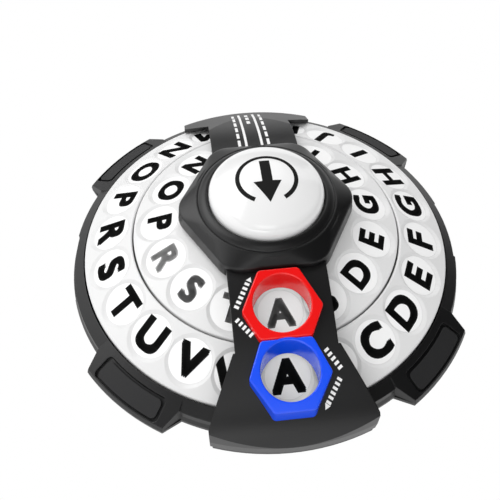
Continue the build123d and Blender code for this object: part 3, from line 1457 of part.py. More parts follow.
# Rubber feet: four round the base and a wider disc on the axis
for name, centre in zip(("foot_rear_right", "foot_rear_left", "foot_front_left", "foot_front_right"),
                        foot_centres):
    with BuildPart() as foot:
        with BuildSketch():
            with Locations(centre):
                Circle(foot_pad_radius)
        extrude(amount=foot_height - seat_gap)
    foot.part.label = name
    export_step(foot.part, f"parts/{name}.step")

with BuildPart() as centre_foot:
    with BuildSketch():
        Circle(centre_foot_radius)
    extrude(amount=foot_height - seat_gap)
centre_foot.part.label = "centre_foot"
export_step(centre_foot.part, "parts/centre_foot.step")
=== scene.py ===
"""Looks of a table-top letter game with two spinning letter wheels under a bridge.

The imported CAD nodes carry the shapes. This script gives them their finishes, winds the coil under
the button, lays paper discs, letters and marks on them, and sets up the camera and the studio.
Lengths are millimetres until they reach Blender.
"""

from __future__ import annotations

import json
import logging
import math
from dataclasses import dataclass, field
from enum import Enum

import bpy
from mathutils import Matrix, Vector
from mathutils.bvhtree import BVHTree

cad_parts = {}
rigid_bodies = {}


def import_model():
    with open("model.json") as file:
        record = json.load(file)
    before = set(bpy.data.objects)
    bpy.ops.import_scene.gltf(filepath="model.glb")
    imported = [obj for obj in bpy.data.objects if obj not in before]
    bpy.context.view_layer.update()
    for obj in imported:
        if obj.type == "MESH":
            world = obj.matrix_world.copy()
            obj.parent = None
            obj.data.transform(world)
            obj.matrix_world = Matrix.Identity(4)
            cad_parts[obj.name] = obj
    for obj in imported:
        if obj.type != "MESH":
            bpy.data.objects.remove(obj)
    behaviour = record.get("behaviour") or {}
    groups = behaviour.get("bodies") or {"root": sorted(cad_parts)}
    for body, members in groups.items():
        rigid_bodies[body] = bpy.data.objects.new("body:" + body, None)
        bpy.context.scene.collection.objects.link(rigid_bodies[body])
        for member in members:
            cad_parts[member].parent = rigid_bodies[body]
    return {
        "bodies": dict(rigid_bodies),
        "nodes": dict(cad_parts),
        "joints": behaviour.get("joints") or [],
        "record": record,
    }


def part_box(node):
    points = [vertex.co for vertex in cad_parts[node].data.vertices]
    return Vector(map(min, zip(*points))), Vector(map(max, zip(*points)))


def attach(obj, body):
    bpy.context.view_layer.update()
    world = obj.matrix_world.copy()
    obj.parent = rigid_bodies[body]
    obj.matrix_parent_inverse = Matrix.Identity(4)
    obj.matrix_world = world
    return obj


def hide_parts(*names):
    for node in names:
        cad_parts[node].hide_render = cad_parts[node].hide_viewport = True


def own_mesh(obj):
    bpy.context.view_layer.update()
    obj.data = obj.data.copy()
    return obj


LOG = logging.getLogger("letter_game")
MM = 0.001

# Sizes of the slow changes of tone and of roughness in a finish, in millimetres
DRIFT_SIZE = 18.0
CLOUD_SIZE = 1000 / 55

# Depths of the grain and of the light's way into polished plastic, in millimetres
GRAIN_DEPTH = 0.05
SCATTER_DEPTH = 1.2

# Roughness of the clear top layer on glossy plastic
COAT_ROUGHNESS = 0.08

# Rays with which the shader rounds an edge
BEVEL_SAMPLES = 6

# Grey of the light that the coloured bezels pass on, and white of the studio as it is seen
BOUNCE_GREY = (0.7, 0.7, 0.7, 1.0)
PLAIN_WHITE = (1.0, 1.0, 1.0, 1.0)

# Share of the built-in font's size that its capitals fill
CAPITAL_SHARE = 0.73

# Height in metres, above every piece, from which prints are laid down
PRINT_START = 0.2


def linear(hex_colour: str) -> tuple[float, float, float, float]:
    """Turn an sRGB hex colour into the linear values that Blender's shaders use.

    Args:
        hex_colour: Colour such as "#1c1c1c".

    Returns:
        Linear red, green, blue and an alpha of 1.
    """
    digits = hex_colour.lstrip("#")
    channels = [int(digits[start:start + 2], 16) / 255 for start in (0, 2, 4)]
    curved = [c / 12.92 if c <= 0.04045 else ((c + 0.055) / 1.055) ** 2.4 for c in channels]
    return (curved[0], curved[1], curved[2], 1.0)


def polar(radius: float, degrees: float, height: float = 0.0) -> Vector:
    """Give a point on a circle about the wheels' axis.

    Args:
        radius: Distance from the axis.
        degrees: Angle from +X, counter-clockwise.
        height: Height above the table.

    Returns:
        The point, in the units of the arguments.
    """
    angle = math.radians(degrees)
    return Vector((radius * math.cos(angle), radius * math.sin(angle), height))


def flat_quad(name: str, across: float, along: float) -> bpy.types.Mesh:
    """Make a level rectangle round the origin.

    Args:
        name: Name of the mesh.
        across: Half its width, in metres.
        along: Half its length, in metres.

    Returns:
        The mesh.
    """
    mesh = bpy.data.meshes.new(name)
    mesh.from_pydata([(-across, -along, 0), (across, -along, 0), (across, along, 0),
                      (-across, along, 0)], [], [(0, 1, 2, 3)])
    return mesh


class ShaderGraph:
    """Node tree of one material, with the Principled shader already wired to the output."""

    def __init__(self, name: str) -> None:
        """Make the material and its shader.

        Args:
            name: Name of the material.
        """
        self.material = bpy.data.materials.new(name)
        self.material.use_nodes = True
        self.tree = self.material.node_tree
        self.shader = self.tree.nodes["Principled BSDF"]

    def add(self, kind: str, links: dict[str, bpy.types.NodeSocket] | None = None,
            **settings: object) -> bpy.types.Node:
        """Add one node with its settings and its incoming links.

        Args:
            kind: Blender's type name of the node.
            links: Input name to the output socket that feeds it.
            **settings: Input values, or node attributes where the node has no such input.

        Returns:
            The new node.
        """
        node = self.tree.nodes.new(kind)
        for name, value in settings.items():
            label = name.replace("_", " ").title()
            if label in node.inputs:
                node.inputs[label].default_value = value
            else:
                setattr(node, name, value)
        for name, socket in (links or {}).items():
            self.tree.links.new(socket, node.inputs[name])
        return node

    def feed(self, name: str, value: object) -> None:
        """Set one input of the Principled shader, by value or by link.

        Args:
            name: Name of the input.
            value: A plain value, or the output socket to link.
        """
        if isinstance(value, bpy.types.NodeSocket):
            self.tree.links.new(value, self.shader.inputs[name])
        else:
            self.shader.inputs[name].default_value = value


@dataclass(frozen=True)
class Finish:
    """A plastic, rubber, metal, paper or ink surface.

    Sizes are millimetres. The grain is a bump, the mottle a slow change of roughness and the tone
    drift a slow change of colour. Round edges are drawn by the shader, so the mesh stays sharp.
    """

    name: str
    colour: str
    roughness: float
    ior: float = 1.5
    metallic: float = 0.0
    grain: float = 0.0
    grain_size: float = 0.4
    mottle: float = 0.0
    edge_round: float = 0.0
    coat: float = 0.0
    subsurface: float = 0.0
    tone_drift: float = 0.0
    neutral_bounce: bool = False

    def build(self) -> bpy.types.Material:
        """Make the material for this finish.

        Returns:
            The Blender material.
        """
        graph = ShaderGraph(self.name)
        place = graph.add("ShaderNodeTexCoord").outputs["Object"]
        graph.feed("IOR", self.ior)
        graph.feed("Metallic", self.metallic)
        graph.feed("Coat Weight", self.coat)
        graph.feed("Coat Roughness", COAT_ROUGHNESS)
        if self.subsurface:
            graph.feed("Subsurface Weight", self.subsurface)
            graph.feed("Subsurface Radius", (1.0, 1.0, 1.0))
            graph.feed("Subsurface Scale", SCATTER_DEPTH * MM)
        self.feed_colour(graph, place)
        self.feed_normal(graph, place)
        self.feed_roughness(graph, place)
        return graph.material

    def feed_colour(self, graph: ShaderGraph, place: bpy.types.NodeSocket) -> None:
        """Set the colour, with its drift or with the grey that it bounces.

        Args:
            graph: The material's nodes.
            place: The shaded point, in metres of the object.
        """
        colour = linear(self.colour)
        graph.feed("Base Color", colour)
        if self.tone_drift:
            drift = graph.add("ShaderNodeTexNoise", {"Vector": place},
                              scale=1 / (DRIFT_SIZE * MM), detail=3.0)
            darker = tuple(c * (1 - self.tone_drift) for c in colour[:3]) + (1.0,)
            tone = graph.add("ShaderNodeMixRGB", {"Fac": drift.outputs["Fac"]},
                             color1=darker, color2=colour)
            graph.feed("Base Color", tone.outputs["Color"])
        if self.neutral_bounce:
            path = graph.add("ShaderNodeLightPath")
            tone = graph.add("ShaderNodeMixRGB", {"Fac": path.outputs["Is Diffuse Ray"]},
                             color1=colour, color2=BOUNCE_GREY)
            graph.feed("Base Color", tone.outputs["Color"])

    def feed_normal(self, graph: ShaderGraph, place: bpy.types.NodeSocket) -> None:
        """Set the round edges and the grain, where the finish has them.

        Args:
            graph: The material's nodes.
            place: The shaded point, in metres of the object.
        """
        normal = None
        if self.edge_round:
            bevel = graph.add("ShaderNodeBevel", samples=BEVEL_SAMPLES,
                              radius=self.edge_round * MM)
            normal = bevel.outputs["Normal"]
        if self.grain:
            noise = graph.add("ShaderNodeTexNoise", {"Vector": place},
                              scale=1 / (self.grain_size * MM), detail=2.0)
            bump = graph.add("ShaderNodeBump", {"Height": noise.outputs["Fac"]},
                             strength=self.grain, distance=GRAIN_DEPTH * MM)
            if normal is not None:
                graph.tree.links.new(normal, bump.inputs["Normal"])
            normal = bump.outputs["Normal"]
        if normal is not None:
            graph.feed("Normal", normal)

    def feed_roughness(self, graph: ShaderGraph, place: bpy.types.NodeSocket) -> None:
        """Set the roughness, with its clouds where the finish has them.

        Args:
            graph: The material's nodes.
            place: The shaded point, in metres of the object.
        """
        graph.feed("Roughness", self.roughness)
        if self.mottle:
            cloud = graph.add("ShaderNodeTexNoise", {"Vector": place},
                              scale=1 / (CLOUD_SIZE * MM), detail=4.0)
            spread = graph.add("ShaderNodeMapRange", {"Value": cloud.outputs["Fac"]},
                               to_min=self.roughness - self.mottle,
                               to_max=self.roughness + self.mottle)
            graph.feed("Roughness", spread.outputs["Result"])


class Surface(Enum):
    """The finishes of the game, by the material they stand for."""

    # Black ABS with a fine spark-eroded grain: soft wide highlights, grey where lit
    BLACK_ABS = Finish("black_abs_moulded", "#161617", 0.4, ior=1.5, grain=0.25, mottle=0.03,
                       edge_round=0.7, tone_drift=0.25)
    # The same plastic on the hub cover, whose creases are large soft rounds
    HUB_ABS = Finish("black_abs_hub", "#161617", 0.36, ior=1.5, grain=0.2, mottle=0.03,
                     edge_round=1.8, tone_drift=0.25)
    # Softer over-moulded rubber on the lobes: lighter and duller than the case
    GRIP_RUBBER = Finish("grip_rubber", "#272728", 0.6, ior=1.4, grain=0.35, edge_round=0.5,
                         tone_drift=0.15)
    # Rubber of the feet: dark and dead matte
    FOOT_RUBBER = Finish("foot_rubber", "#1d1d1d", 0.8, grain=0.4)
    # White ABS of the wheels: bright satin, so the dishes read only by their shaded walls
    WHITE_ABS = Finish("white_abs_satin", "#e7e7e7", 0.32, mottle=0.02, edge_round=0.35,
                       tone_drift=0.02)
    # Polished white dome: crisp wide reflections over a faint depth
    WHITE_GLOSS = Finish("white_abs_polished", "#efefef", 0.16, coat=0.3, subsurface=0.08)
    # Glossy red and blue bezels: saturated, with sharp reflections inside the holes; the light
    # they pass on is grey, so the letters under them stay on white
    RED_ABS = Finish("red_abs_gloss", "#f00a0a", 0.2, coat=0.2, edge_round=0.4,
                     neutral_bounce=True)
    BLUE_ABS = Finish("blue_abs_gloss", "#0f50f6", 0.2, coat=0.2, edge_round=0.4,
                      neutral_bounce=True)
    # Undyed acetal of the drive parts: waxy off-white
    ACETAL = Finish("natural_acetal", "#dcd9cf", 0.38)
    # Drawn spring wire and strip: grey metal with soft reflections
    STEEL = Finish("plain_steel", "#a3a3a6", 0.3, metallic=1.0)
    # Zinc-plated screws: lighter and a little duller than the springs
    ZINC = Finish("zinc_steel", "#b9b9bd", 0.35, metallic=1.0)
    # Bright paper discs in the dishes: whiter and duller than the wheel round them
    LABEL_PAPER = Finish("label_paper", "#fdfdfd", 0.55)
    # Pad-printed ink, black and white: flat, without depth
    BLACK_INK = Finish("black_ink", "#1c1c1c", 0.7, ior=1.2)
    WHITE_INK = Finish("white_ink", "#f4f4f4", 0.6)
    # Mid and light grey ink for a few letters of the inner wheel
    MID_INK = Finish("mid_grey_ink", "#757575", 0.7, ior=1.2)
    PALE_INK = Finish("pale_grey_ink", "#b4b4b4", 0.7, ior=1.2)


class Paintbox:
    """Makes each finish once and puts it on objects."""

    def __init__(self) -> None:
        """Start with no finish made."""
        self.made: dict[Surface, bpy.types.Material] = {}

    def paint(self, obj: bpy.types.Object, surface: Surface) -> None:
        """Give an object one finish.

        Args:
            obj: The object to paint.
            surface: Its finish.
        """
        if surface not in self.made:
            self.made[surface] = surface.value.build()
        obj.data.materials.clear()
        obj.data.materials.append(self.made[surface])


# The finish of each material slot, and of the one node that differs from its slot
NODE_SURFACES = {"hub_cover": Surface.HUB_ABS}
SLOT_SURFACES = {
    "black_abs": Surface.BLACK_ABS,
    "grip_rubber": Surface.GRIP_RUBBER,
    "foot_rubber": Surface.FOOT_RUBBER,
    "white_wheel": Surface.WHITE_ABS,
    "white_gloss": Surface.WHITE_GLOSS,
    "red_abs": Surface.RED_ABS,
    "blue_abs": Surface.BLUE_ABS,
    "natural_acetal": Surface.ACETAL,
    "plain_steel": Surface.STEEL,
    "zinc_steel": Surface.ZINC,
}


class MouldedParts:
    """The CAD nodes, painted by their material slot."""

    def __init__(self, frame: dict, paintbox: Paintbox) -> None:
        """Keep the frame's nodes and slots.

        Args:
            paintbox: Source of the finishes.
        """
        self.nodes = frame["nodes"]
        self.slots = {row["node"]: row["material_slot"] for row in frame["record"]["subparts"]}
        self.paintbox = paintbox

    def build(self) -> None:
        """Paint every node by its material slot."""
        for name, obj in self.nodes.items():
            surface = NODE_SURFACES.get(name, SLOT_SURFACES[self.slots[name]])
            self.paintbox.paint(obj, surface)
        LOG.info("painted %d moulded and metal nodes", len(self.nodes))


@dataclass
class ReturnSpring:
    """The coil under the button, with closed ends.

    Lengths are millimetres. The steps are the rings of one turn, and the sides those of the wire.
    """

    radius: float = 13.0
    wire: float = 1.3
    turns: float = 5.0
    closed_turns: float = 0.8
    travel: float = 8.0
    steps: int = 48
    sides: int = 12

    def climb(self, turn: float, rise: float) -> float:
        """Give the wire's height above its start after some turns.

        Args:
            turn: Turns from the lower end.
            rise: Height of the upper end above the lower end.

        Returns:
            The height, which grows slowly along the closed ends.
        """
        if turn < self.closed_turns:
            return turn * self.wire
        if turn > self.turns - self.closed_turns:
            return rise - (self.turns - turn) * self.wire
        closed = self.closed_turns * self.wire
        share = (turn - self.closed_turns) / (self.turns - 2 * self.closed_turns)
        return closed + share * (rise - 2 * closed)

    def build(self, paintbox: Paintbox) -> None:
        """Wind the coil in the place of the plain CAD spring.

        Args:
            paintbox: Source of the steel.
        """
        low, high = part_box("return_spring")
        length = (high.z - low.z) / MM
        count = round(self.turns * self.steps)
        vertices: list[Vector] = []
        for index in range(count + 1):
            turn = index / self.steps
            outward = polar(1.0, turn * 360)
            level = low.z / MM + self.wire / 2 + self.climb(turn, length - self.wire)
            for side in range(self.sides):
                angle = 2 * math.pi * side / self.sides
                edge = outward * math.cos(angle) + Vector((0, 0, math.sin(angle)))
                spot = outward * self.radius + Vector((0, 0, level)) + edge * self.wire / 2
                vertices.append(spot * MM)
        first, last = range(self.sides), range(count * self.sides, (count + 1) * self.sides)
        faces = [tuple(first), tuple(reversed(last))]
        for start in range(0, count * self.sides, self.sides):
            for side in range(self.sides):
                near, far = start + side, start + (side + 1) % self.sides
                faces.append((near, near + self.sides, far + self.sides, far))
        mesh = bpy.data.meshes.new("return_coil")
        mesh.from_pydata(vertices, [], faces)
        mesh.polygons.foreach_set("use_smooth", [len(face) == 4 for face in faces])
        coil = bpy.data.objects.new("return_coil", mesh)
        bpy.context.scene.collection.objects.link(coil)
        paintbox.paint(coil, Surface.STEEL)
        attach(coil, "base")
        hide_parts("return_spring")
        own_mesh(coil)
        LOG.info("wound the return spring, %.1f mm long", length)


@dataclass
class LetterRing:
    """One wheel's letters, each on a paper disc on the flat floor of its dish.

    The dishes lie on a circle of a cone: circle is its radius, slope the cone's fall, height the
    cone's height there and depth that of a floor below it. The tints give the ink of a letter by
    its place in the row, where it isn't black, and the weight is what is added to each side of a
    stroke, as a share of the letter's height. Lengths are millimetres.
    """

    name: str
    body: str
    letters: str
    circle: float
    slope: float
    height: float
    cap_height: float
    tints: dict[int, Surface] = field(default_factory=dict)
    depth: float = 1.3
    label_radius: float = 11.5
    label_sides: int = 64
    label_lift: float = 0.04
    ink_lift: float = 0.08
    weight: float = 0.055
    curve_steps: int = 6

    def glyph(self, letter: str) -> bpy.types.Object:
        """Make one heavy letter, centred on the origin.

        The plain letter is laid down nine times, shifted by the weight to each side and
        corner, which thickens its strokes and keeps their corners square.

        Args:
            letter: The character.

        Returns:
            The letter as a flat mesh object.
        """
        shift = self.weight * self.cap_height * MM
        curve = bpy.data.curves.new(letter, "FONT")
        curve.body = letter
        curve.size = (self.cap_height * MM - 2 * shift) / CAPITAL_SHARE
        curve.resolution_u = self.curve_steps
        holder = bpy.data.objects.new(letter, curve)
        bpy.context.scene.collection.objects.link(holder)
        bpy.context.view_layer.update()
        plain = bpy.data.meshes.new_from_object(holder)
        bpy.data.objects.remove(holder)
        spots = [v.co.copy() for v in plain.vertices]
        middle = Vector([(min(c[axis] for c in spots) + max(c[axis] for c in spots)) / 2
                         for axis in range(3)])
        vertices: list[Vector] = []
        faces: list[list[int]] = []
        for across in (-shift, 0.0, shift):
            for along in (-shift, 0.0, shift):
                first = len(vertices)
                step = Vector((across, along, 0.0)) - middle
                vertices.extend(spot + step for spot in spots)
                faces.extend([first + corner for corner in p.vertices] for p in plain.polygons)
        mesh = bpy.data.meshes.new(f"{self.name}_{letter}")
        mesh.from_pydata(vertices, [], faces)
        glyph = bpy.data.objects.new(f"{self.name}_{letter}", mesh)
        bpy.context.scene.collection.objects.link(glyph)
        return glyph

    def place(self, index: int, lift: float) -> Matrix:
        """Give the transform of one dish's floor, in metres.

        Args:
            index: Number of the dish, counter-clockwise from the front.
            lift: Height above the floor, in millimetres.

        Returns:
            The transform, with the letter's foot towards the rim.
        """
        tilt = math.atan(self.slope)
        outward = polar(1.0, -90 + index * 360 / len(self.letters))
        normal = outward * math.sin(tilt) + Vector((0, 0, math.cos(tilt)))
        up = -outward * math.cos(tilt) + Vector((0, 0, math.sin(tilt)))
        spot = outward * self.circle + Vector((0, 0, self.height)) + normal * (lift - self.depth)
        turn = Matrix((up.cross(normal), up, normal)).transposed().to_4x4()
        return Matrix.Translation(spot * MM) @ turn

    def lay_discs(self, paintbox: Paintbox) -> None:
        """Lay a paper disc in every dish, as one piece.

        Args:
            paintbox: Source of the paper.
        """
        sides = self.label_sides
        rim = [polar(self.label_radius * MM, turn * 360 / sides) for turn in range(sides)]
        vertices = [self.place(index, self.label_lift) @ corner
                    for index in range(len(self.letters)) for corner in rim]
        faces = [range(index * sides, (index + 1) * sides) for index in range(len(self.letters))]
        mesh = bpy.data.meshes.new(f"{self.name}_discs")
        mesh.from_pydata(vertices, [], faces)
        obj = bpy.data.objects.new(f"{self.name}_discs", mesh)
        bpy.context.scene.collection.objects.link(obj)
        paintbox.paint(obj, Surface.LABEL_PAPER)
        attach(obj, self.body)

    def build(self, paintbox: Paintbox) -> None:
        """Lay the discs and print the letters, one piece for each ink.

        Args:
            paintbox: Source of the paper and the inks.
        """
        self.lay_discs(paintbox)
        inked: dict[Surface, list[bpy.types.Object]] = {}
        for index, letter in enumerate(self.letters):
            glyph = self.glyph(letter)
            glyph.data.transform(self.place(index, self.ink_lift))
            inked.setdefault(self.tints.get(index, Surface.BLACK_INK), []).append(glyph)
        for surface, glyphs in inked.items():
            with bpy.context.temp_override(active_object=glyphs[0], object=glyphs[0],
                                           selected_objects=glyphs,
                                           selected_editable_objects=glyphs):
                bpy.ops.object.join()
            ring = glyphs[0]
            ring.name = f"{self.name}_{surface.value.name}"
            paintbox.paint(ring, surface)
            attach(ring, self.body)
        LOG.info("printed %s with %d letters", self.name, len(self.letters))


@dataclass
class DrapedPrint:
    """Ink shapes drawn in plan, in millimetres, and laid on a node's upper surface.

    Each strip is a quad in plan, cut into pieces of about one step, which follow the surface a
    small lift above it. A block fills its share of the pitch of its row, and an arc is made of
    quads that turn by up to one arc step, in degrees.
    """

    name: str
    node: str
    body: str
    surface: Surface
    strips: list[list[tuple[float, float]]] = field(default_factory=list)
    lift: float = 0.06
    step: float = 1.0
    block_share: float = 0.56
    arc_step: float = 7.5

    def bar(self, start: tuple[float, float], end: tuple[float, float], width: float) -> None:
        """Add a straight bar.

        Args:
            start: Middle of one end, in plan.
            end: Middle of the other end.
            width: Width of the bar.
        """
        first, last = Vector(start), Vector(end)
        side = (last - first).orthogonal().normalized() * width / 2
        self.strips.append([tuple(first - side), tuple(last - side),
                            tuple(last + side), tuple(first + side)])

    def blocks(self, start: tuple[float, float], end: tuple[float, float], count: int,
               width: float) -> None:
        """Add a row of short bars with small gaps.

        Args:
            start: Middle of the first bar, in plan.
            end: Middle of the last bar.
            count: Number of bars.
            width: Length of each bar across the row.
        """
        first, last = Vector(start), Vector(end)
        pitch = (last - first) / (count - 1)
        half = pitch * self.block_share / 2
        for index in range(count):
            middle = first + pitch * index
            self.bar(tuple(middle - half), tuple(middle + half), width)

    def triangle(self, centre: tuple[float, float], size: float, heading: float) -> None:
        """Add a triangle that points along a heading.

        Args:
            centre: Its centre, in plan.
            size: Its circumradius.
            heading: Direction of its tip, degrees from +X.
        """
        tips = [polar(size, heading + turn) for turn in (0, 120, 240)]
        points = [(centre[0] + tip.x, centre[1] + tip.y) for tip in tips]
        self.strips.append([points[0], points[1], points[2], points[2]])

    def arc(self, radius: float, first: float, last: float, width: float) -> None:
        """Add a band along an arc about the wheels' axis, as short straight quads.

        Args:
            radius: Middle radius of the band.
            first: Start angle in degrees.
            last: End angle in degrees.
            width: Width of the band.
        """
        count = math.ceil((last - first) / self.arc_step)
        for index in range(count):
            turns = [first + (last - first) * (index + end) / count for end in (0, 1)]
            inner = [polar(radius - width / 2, turn) for turn in turns]
            outer = [polar(radius + width / 2, turn) for turn in turns]
            ring = (inner[0], inner[1], outer[1], outer[0])
            self.strips.append([(p.x, p.y) for p in ring])

    def drape(self, tree: BVHTree, spot: Vector) -> Vector:
        """Find the point of ink over one spot of the plan.

        Args:
            tree: Faces of the node that is printed on.
            spot: The spot, in millimetres.

        Returns:
            The point a lift above the node's surface, in metres.

        Raises:
            ValueError: If the print runs off the node there.
        """
        start = Vector((spot.x * MM, spot.y * MM, PRINT_START))
        hit = tree.ray_cast(start, Vector((0, 0, -1)))[0]
        if hit is None:
            raise ValueError(f"{self.name} runs off {self.node} at {tuple(spot)}")
        return hit + Vector((0, 0, self.lift * MM))

    def build(self, frame: dict, paintbox: Paintbox) -> None:
        """Lay the shapes on the node and paint them, as one piece.

        Args:
            paintbox: Source of the ink.
        """
        target = frame["nodes"][self.node].data
        tree = BVHTree.FromPolygons([v.co for v in target.vertices],
                                    [tuple(p.vertices) for p in target.polygons])
        vertices: list[Vector] = []
        faces: list[tuple[int, ...]] = []
        for strip in self.strips:
            near_left, far_left, far_right, near_right = (Vector(corner) for corner in strip)
            along = max(2, math.ceil((far_left - near_left).length / self.step) + 1)
            across = max(2, math.ceil((near_right - near_left).length / self.step) + 1)
            first = len(vertices)
            for row in range(along):
                share = row / (along - 1)
                left = near_left.lerp(far_left, share)
                right = near_right.lerp(far_right, share)
                for column in range(across):
                    spot = left.lerp(right, column / (across - 1))
                    vertices.append(self.drape(tree, spot))
            for row in range(along - 1):
                for column in range(across - 1):
                    corner = first + row * across + column
                    faces.append((corner, corner + across, corner + across + 1, corner + 1))
        mesh = bpy.data.meshes.new(self.name)
        mesh.from_pydata(vertices, [], faces)
        mesh.validate()
        obj = bpy.data.objects.new(self.name, mesh)
        bpy.context.scene.collection.objects.link(obj)
        paintbox.paint(obj, self.surface)
        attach(obj, self.body)
        LOG.info("laid %s on %s", self.name, self.node)


@dataclass
class RearArmStripes:
    """Two long lines down the rear arm, a row of dashes beside each and a few between them.

    Lengths are millimetres, and starts are distances from the wheels' axis.
    """

    near: float = 50.0
    far: float = 104.0
    line_offset: float = 4.6
    line_width: float = 1.5
    dash_offset: float = 8.6
    dash_start: float = 52.0
    dash_pitch: float = 8.8
    dash_length: float = 6.4
    dash_width: float = 1.7
    dash_count: int = 6
    middle_start: float = 82.0
    middle_pitch: float = 7.6
    middle_length: float = 5.0
    middle_width: float = 2.2
    middle_count: int = 3

    def build(self, frame: dict, paintbox: Paintbox) -> None:
        """Print the stripes.

        Args:
            paintbox: Source of the ink.
        """
        ink = DrapedPrint("rear_arm_stripes", "rear_arm", "base", Surface.WHITE_INK)
        for side in (-1, 1):
            line, dash = side * self.line_offset, side * self.dash_offset
            ink.bar((line, self.near), (line, self.far), self.line_width)
            for index in range(self.dash_count):
                start = self.dash_start + index * self.dash_pitch
                ink.bar((dash, start), (dash, start + self.dash_length), self.dash_width)
        for index in range(self.middle_count):
            start = self.middle_start + index * self.middle_pitch
            ink.bar((0.0, start), (0.0, start + self.middle_length), self.middle_width)
        ink.build(frame, paintbox)


@dataclass
class BarRow:
    """A row of short bars from its first to its last, with or without a tip beyond the last.

    Places are millimetres in plan, and the heading is that of the tip in degrees from +X.
    """

    first: tuple[float, float]
    last: tuple[float, float]
    count: int
    tip: tuple[float, float] | None = None
    heading: float = 0.0


@dataclass
class WindowMarks:
    """Rows of short bars on the front arm, two beside each window; lengths are millimetres."""

    rows: tuple[BarRow, ...] = (
        BarRow((-22.2, -59.7), (-15.8, -48.5), 6, tip=(-14.4, -46.4), heading=60),
        BarRow((-22.5, -66.1), (-16.5, -73.4), 5),
        BarRow((19.0, -83.5), (24.5, -91.7), 5),
        BarRow((23.5, -96.8), (17.0, -106.0), 6, tip=(16.0, -107.4), heading=235),
    )
    bar_length: float = 2.5
    tip_radius: float = 1.7

    def build(self, frame: dict, paintbox: Paintbox) -> None:
        """Print the rows.

        Args:
            paintbox: Source of the ink.
        """
        ink = DrapedPrint("window_marks", "front_arm", "base", Surface.WHITE_INK)
        for row in self.rows:
            ink.blocks(row.first, row.last, row.count, self.bar_length)
            if row.tip:
                ink.triangle(row.tip, self.tip_radius, row.heading)
        ink.build(frame, paintbox)


@dataclass
class PressMark:
    """A down arrow in an open ring, on the dome.

    Lengths are millimetres and the ring's angles degrees from +X.
    """

    ring_radius: float = 15.2
    ring_start: float = -60.0
    ring_end: float = 240.0
    ring_width: float = 2.2
    shaft_top: float = 12.0
    shaft_bottom: float = -4.0
    shaft_width: float = 5.4
    head_centre: float = -7.2
    head_radius: float = 8.4

    def build(self, frame: dict, paintbox: Paintbox) -> None:
        """Print the arrow.

        Args:
            paintbox: Source of the ink.
        """
        ink = DrapedPrint("press_mark", "push_dome", "button", Surface.BLACK_INK)
        ink.arc(self.ring_radius, self.ring_start, self.ring_end, self.ring_width)
        ink.bar((0.0, self.shaft_top), (0.0, self.shaft_bottom), self.shaft_width)
        ink.triangle((0.0, self.head_centre), self.head_radius, -90)
        ink.build(frame, paintbox)


@dataclass
class StudioCamera:
    """The camera of the product view.

    Lengths are millimetres. The camera faces the point of the wheels' axis at the reference
    height from the distance, and is then moved to its own left and down by two small offsets.
    """

    azimuth: float = -6.6
    elevation: float = 53.732
    distance: float = 405.9
    left_offset: float = 8.6
    down_offset: float = 4.19
    reference_height: float = 24.0
    focal_px: float = 703.55
    image_px: float = 500.0
    sensor: float = 36.0
    nearest: float = 10.0
    farthest: float = 20000.0

    def build(self) -> None:
        """Place the camera and make it the scene's own."""
        turn, rise = math.radians(self.azimuth), math.radians(self.elevation)
        right = Vector((math.cos(turn), math.sin(turn), 0))
        ahead = Vector((-math.sin(turn), math.cos(turn), 0))
        forward = ahead * math.cos(rise) - Vector((0, 0, math.sin(rise)))
        up = ahead * math.sin(rise) + Vector((0, 0, math.cos(rise)))
        place = -right * self.left_offset - up * self.down_offset - forward * self.distance
        place.z += self.reference_height
        lens = bpy.data.cameras.new("studio_camera")
        lens.sensor_width = self.sensor
        lens.lens = self.focal_px / self.image_px * self.sensor
        lens.clip_start = self.nearest * MM
        lens.clip_end = self.farthest * MM
        camera = bpy.data.objects.new("studio_camera", lens)
        camera.matrix_world = (Matrix.Translation(place * MM)
                               @ Matrix((right, up, -forward)).transposed().to_4x4())
        bpy.context.scene.collection.objects.link(camera)
        bpy.context.scene.camera = camera
        LOG.info("camera of %.0f mm, %.0f mm away", lens.lens, self.distance)


@dataclass
class Panel:
    """A flat lamp or card that hangs round the object and faces it.

    The azimuth is its direction in plan, from the front towards the right, and the elevation its
    angle above the table, both in degrees. Lengths are millimetres.
    """

    name: str
    azimuth: float
    elevation: float
    distance: float
    width: float
    height: float

    def hang(self, obj: bpy.types.Object, target: Vector) -> None:
        """Put a lamp or card in its place.

        Args:
            obj: The lamp or card, whose own -Z looks at the target.
            target: Point it faces, in millimetres.
        """
        turn, rise = math.radians(self.azimuth), math.radians(self.elevation)
        back = Vector((math.sin(turn) * math.cos(rise), -math.cos(turn) * math.cos(rise),
                       math.sin(rise)))
        obj.location = (target + back * self.distance) * MM
        obj.rotation_mode = "QUATERNION"
        obj.rotation_quaternion = (-back).to_track_quat("-Z", "Y")
        bpy.context.scene.collection.objects.link(obj)


@dataclass
class SoftBox(Panel):
    """A rectangular area lamp."""

    watts: float

    def build(self, target: Vector) -> None:
        """Hang the lamp.

        Args:
            target: Point it faces, in millimetres.
        """
        lamp = bpy.data.lights.new(self.name, "AREA")
        lamp.shape = "RECTANGLE"
        lamp.size = self.width * MM
        lamp.size_y = self.height * MM
        lamp.energy = self.watts
        self.hang(bpy.data.objects.new(self.name, lamp), target)


@dataclass
class Flag(Panel):
    """A black card that only reflections see; it keeps black plastic dark on that side."""

    def build(self, target: Vector, black: bpy.types.Material) -> None:
        """Hang the card.

        Args:
            target: Point it faces, in millimetres.
            black: Its dead matte material.
        """
        mesh = flat_quad(self.name, self.width / 2 * MM, self.height / 2 * MM)
        mesh.materials.append(black)
        card = bpy.data.objects.new(self.name, mesh)
        self.hang(card, target)
        card.visible_camera = False
        card.visible_diffuse = False
        card.visible_shadow = False
        card.visible_transmission = False


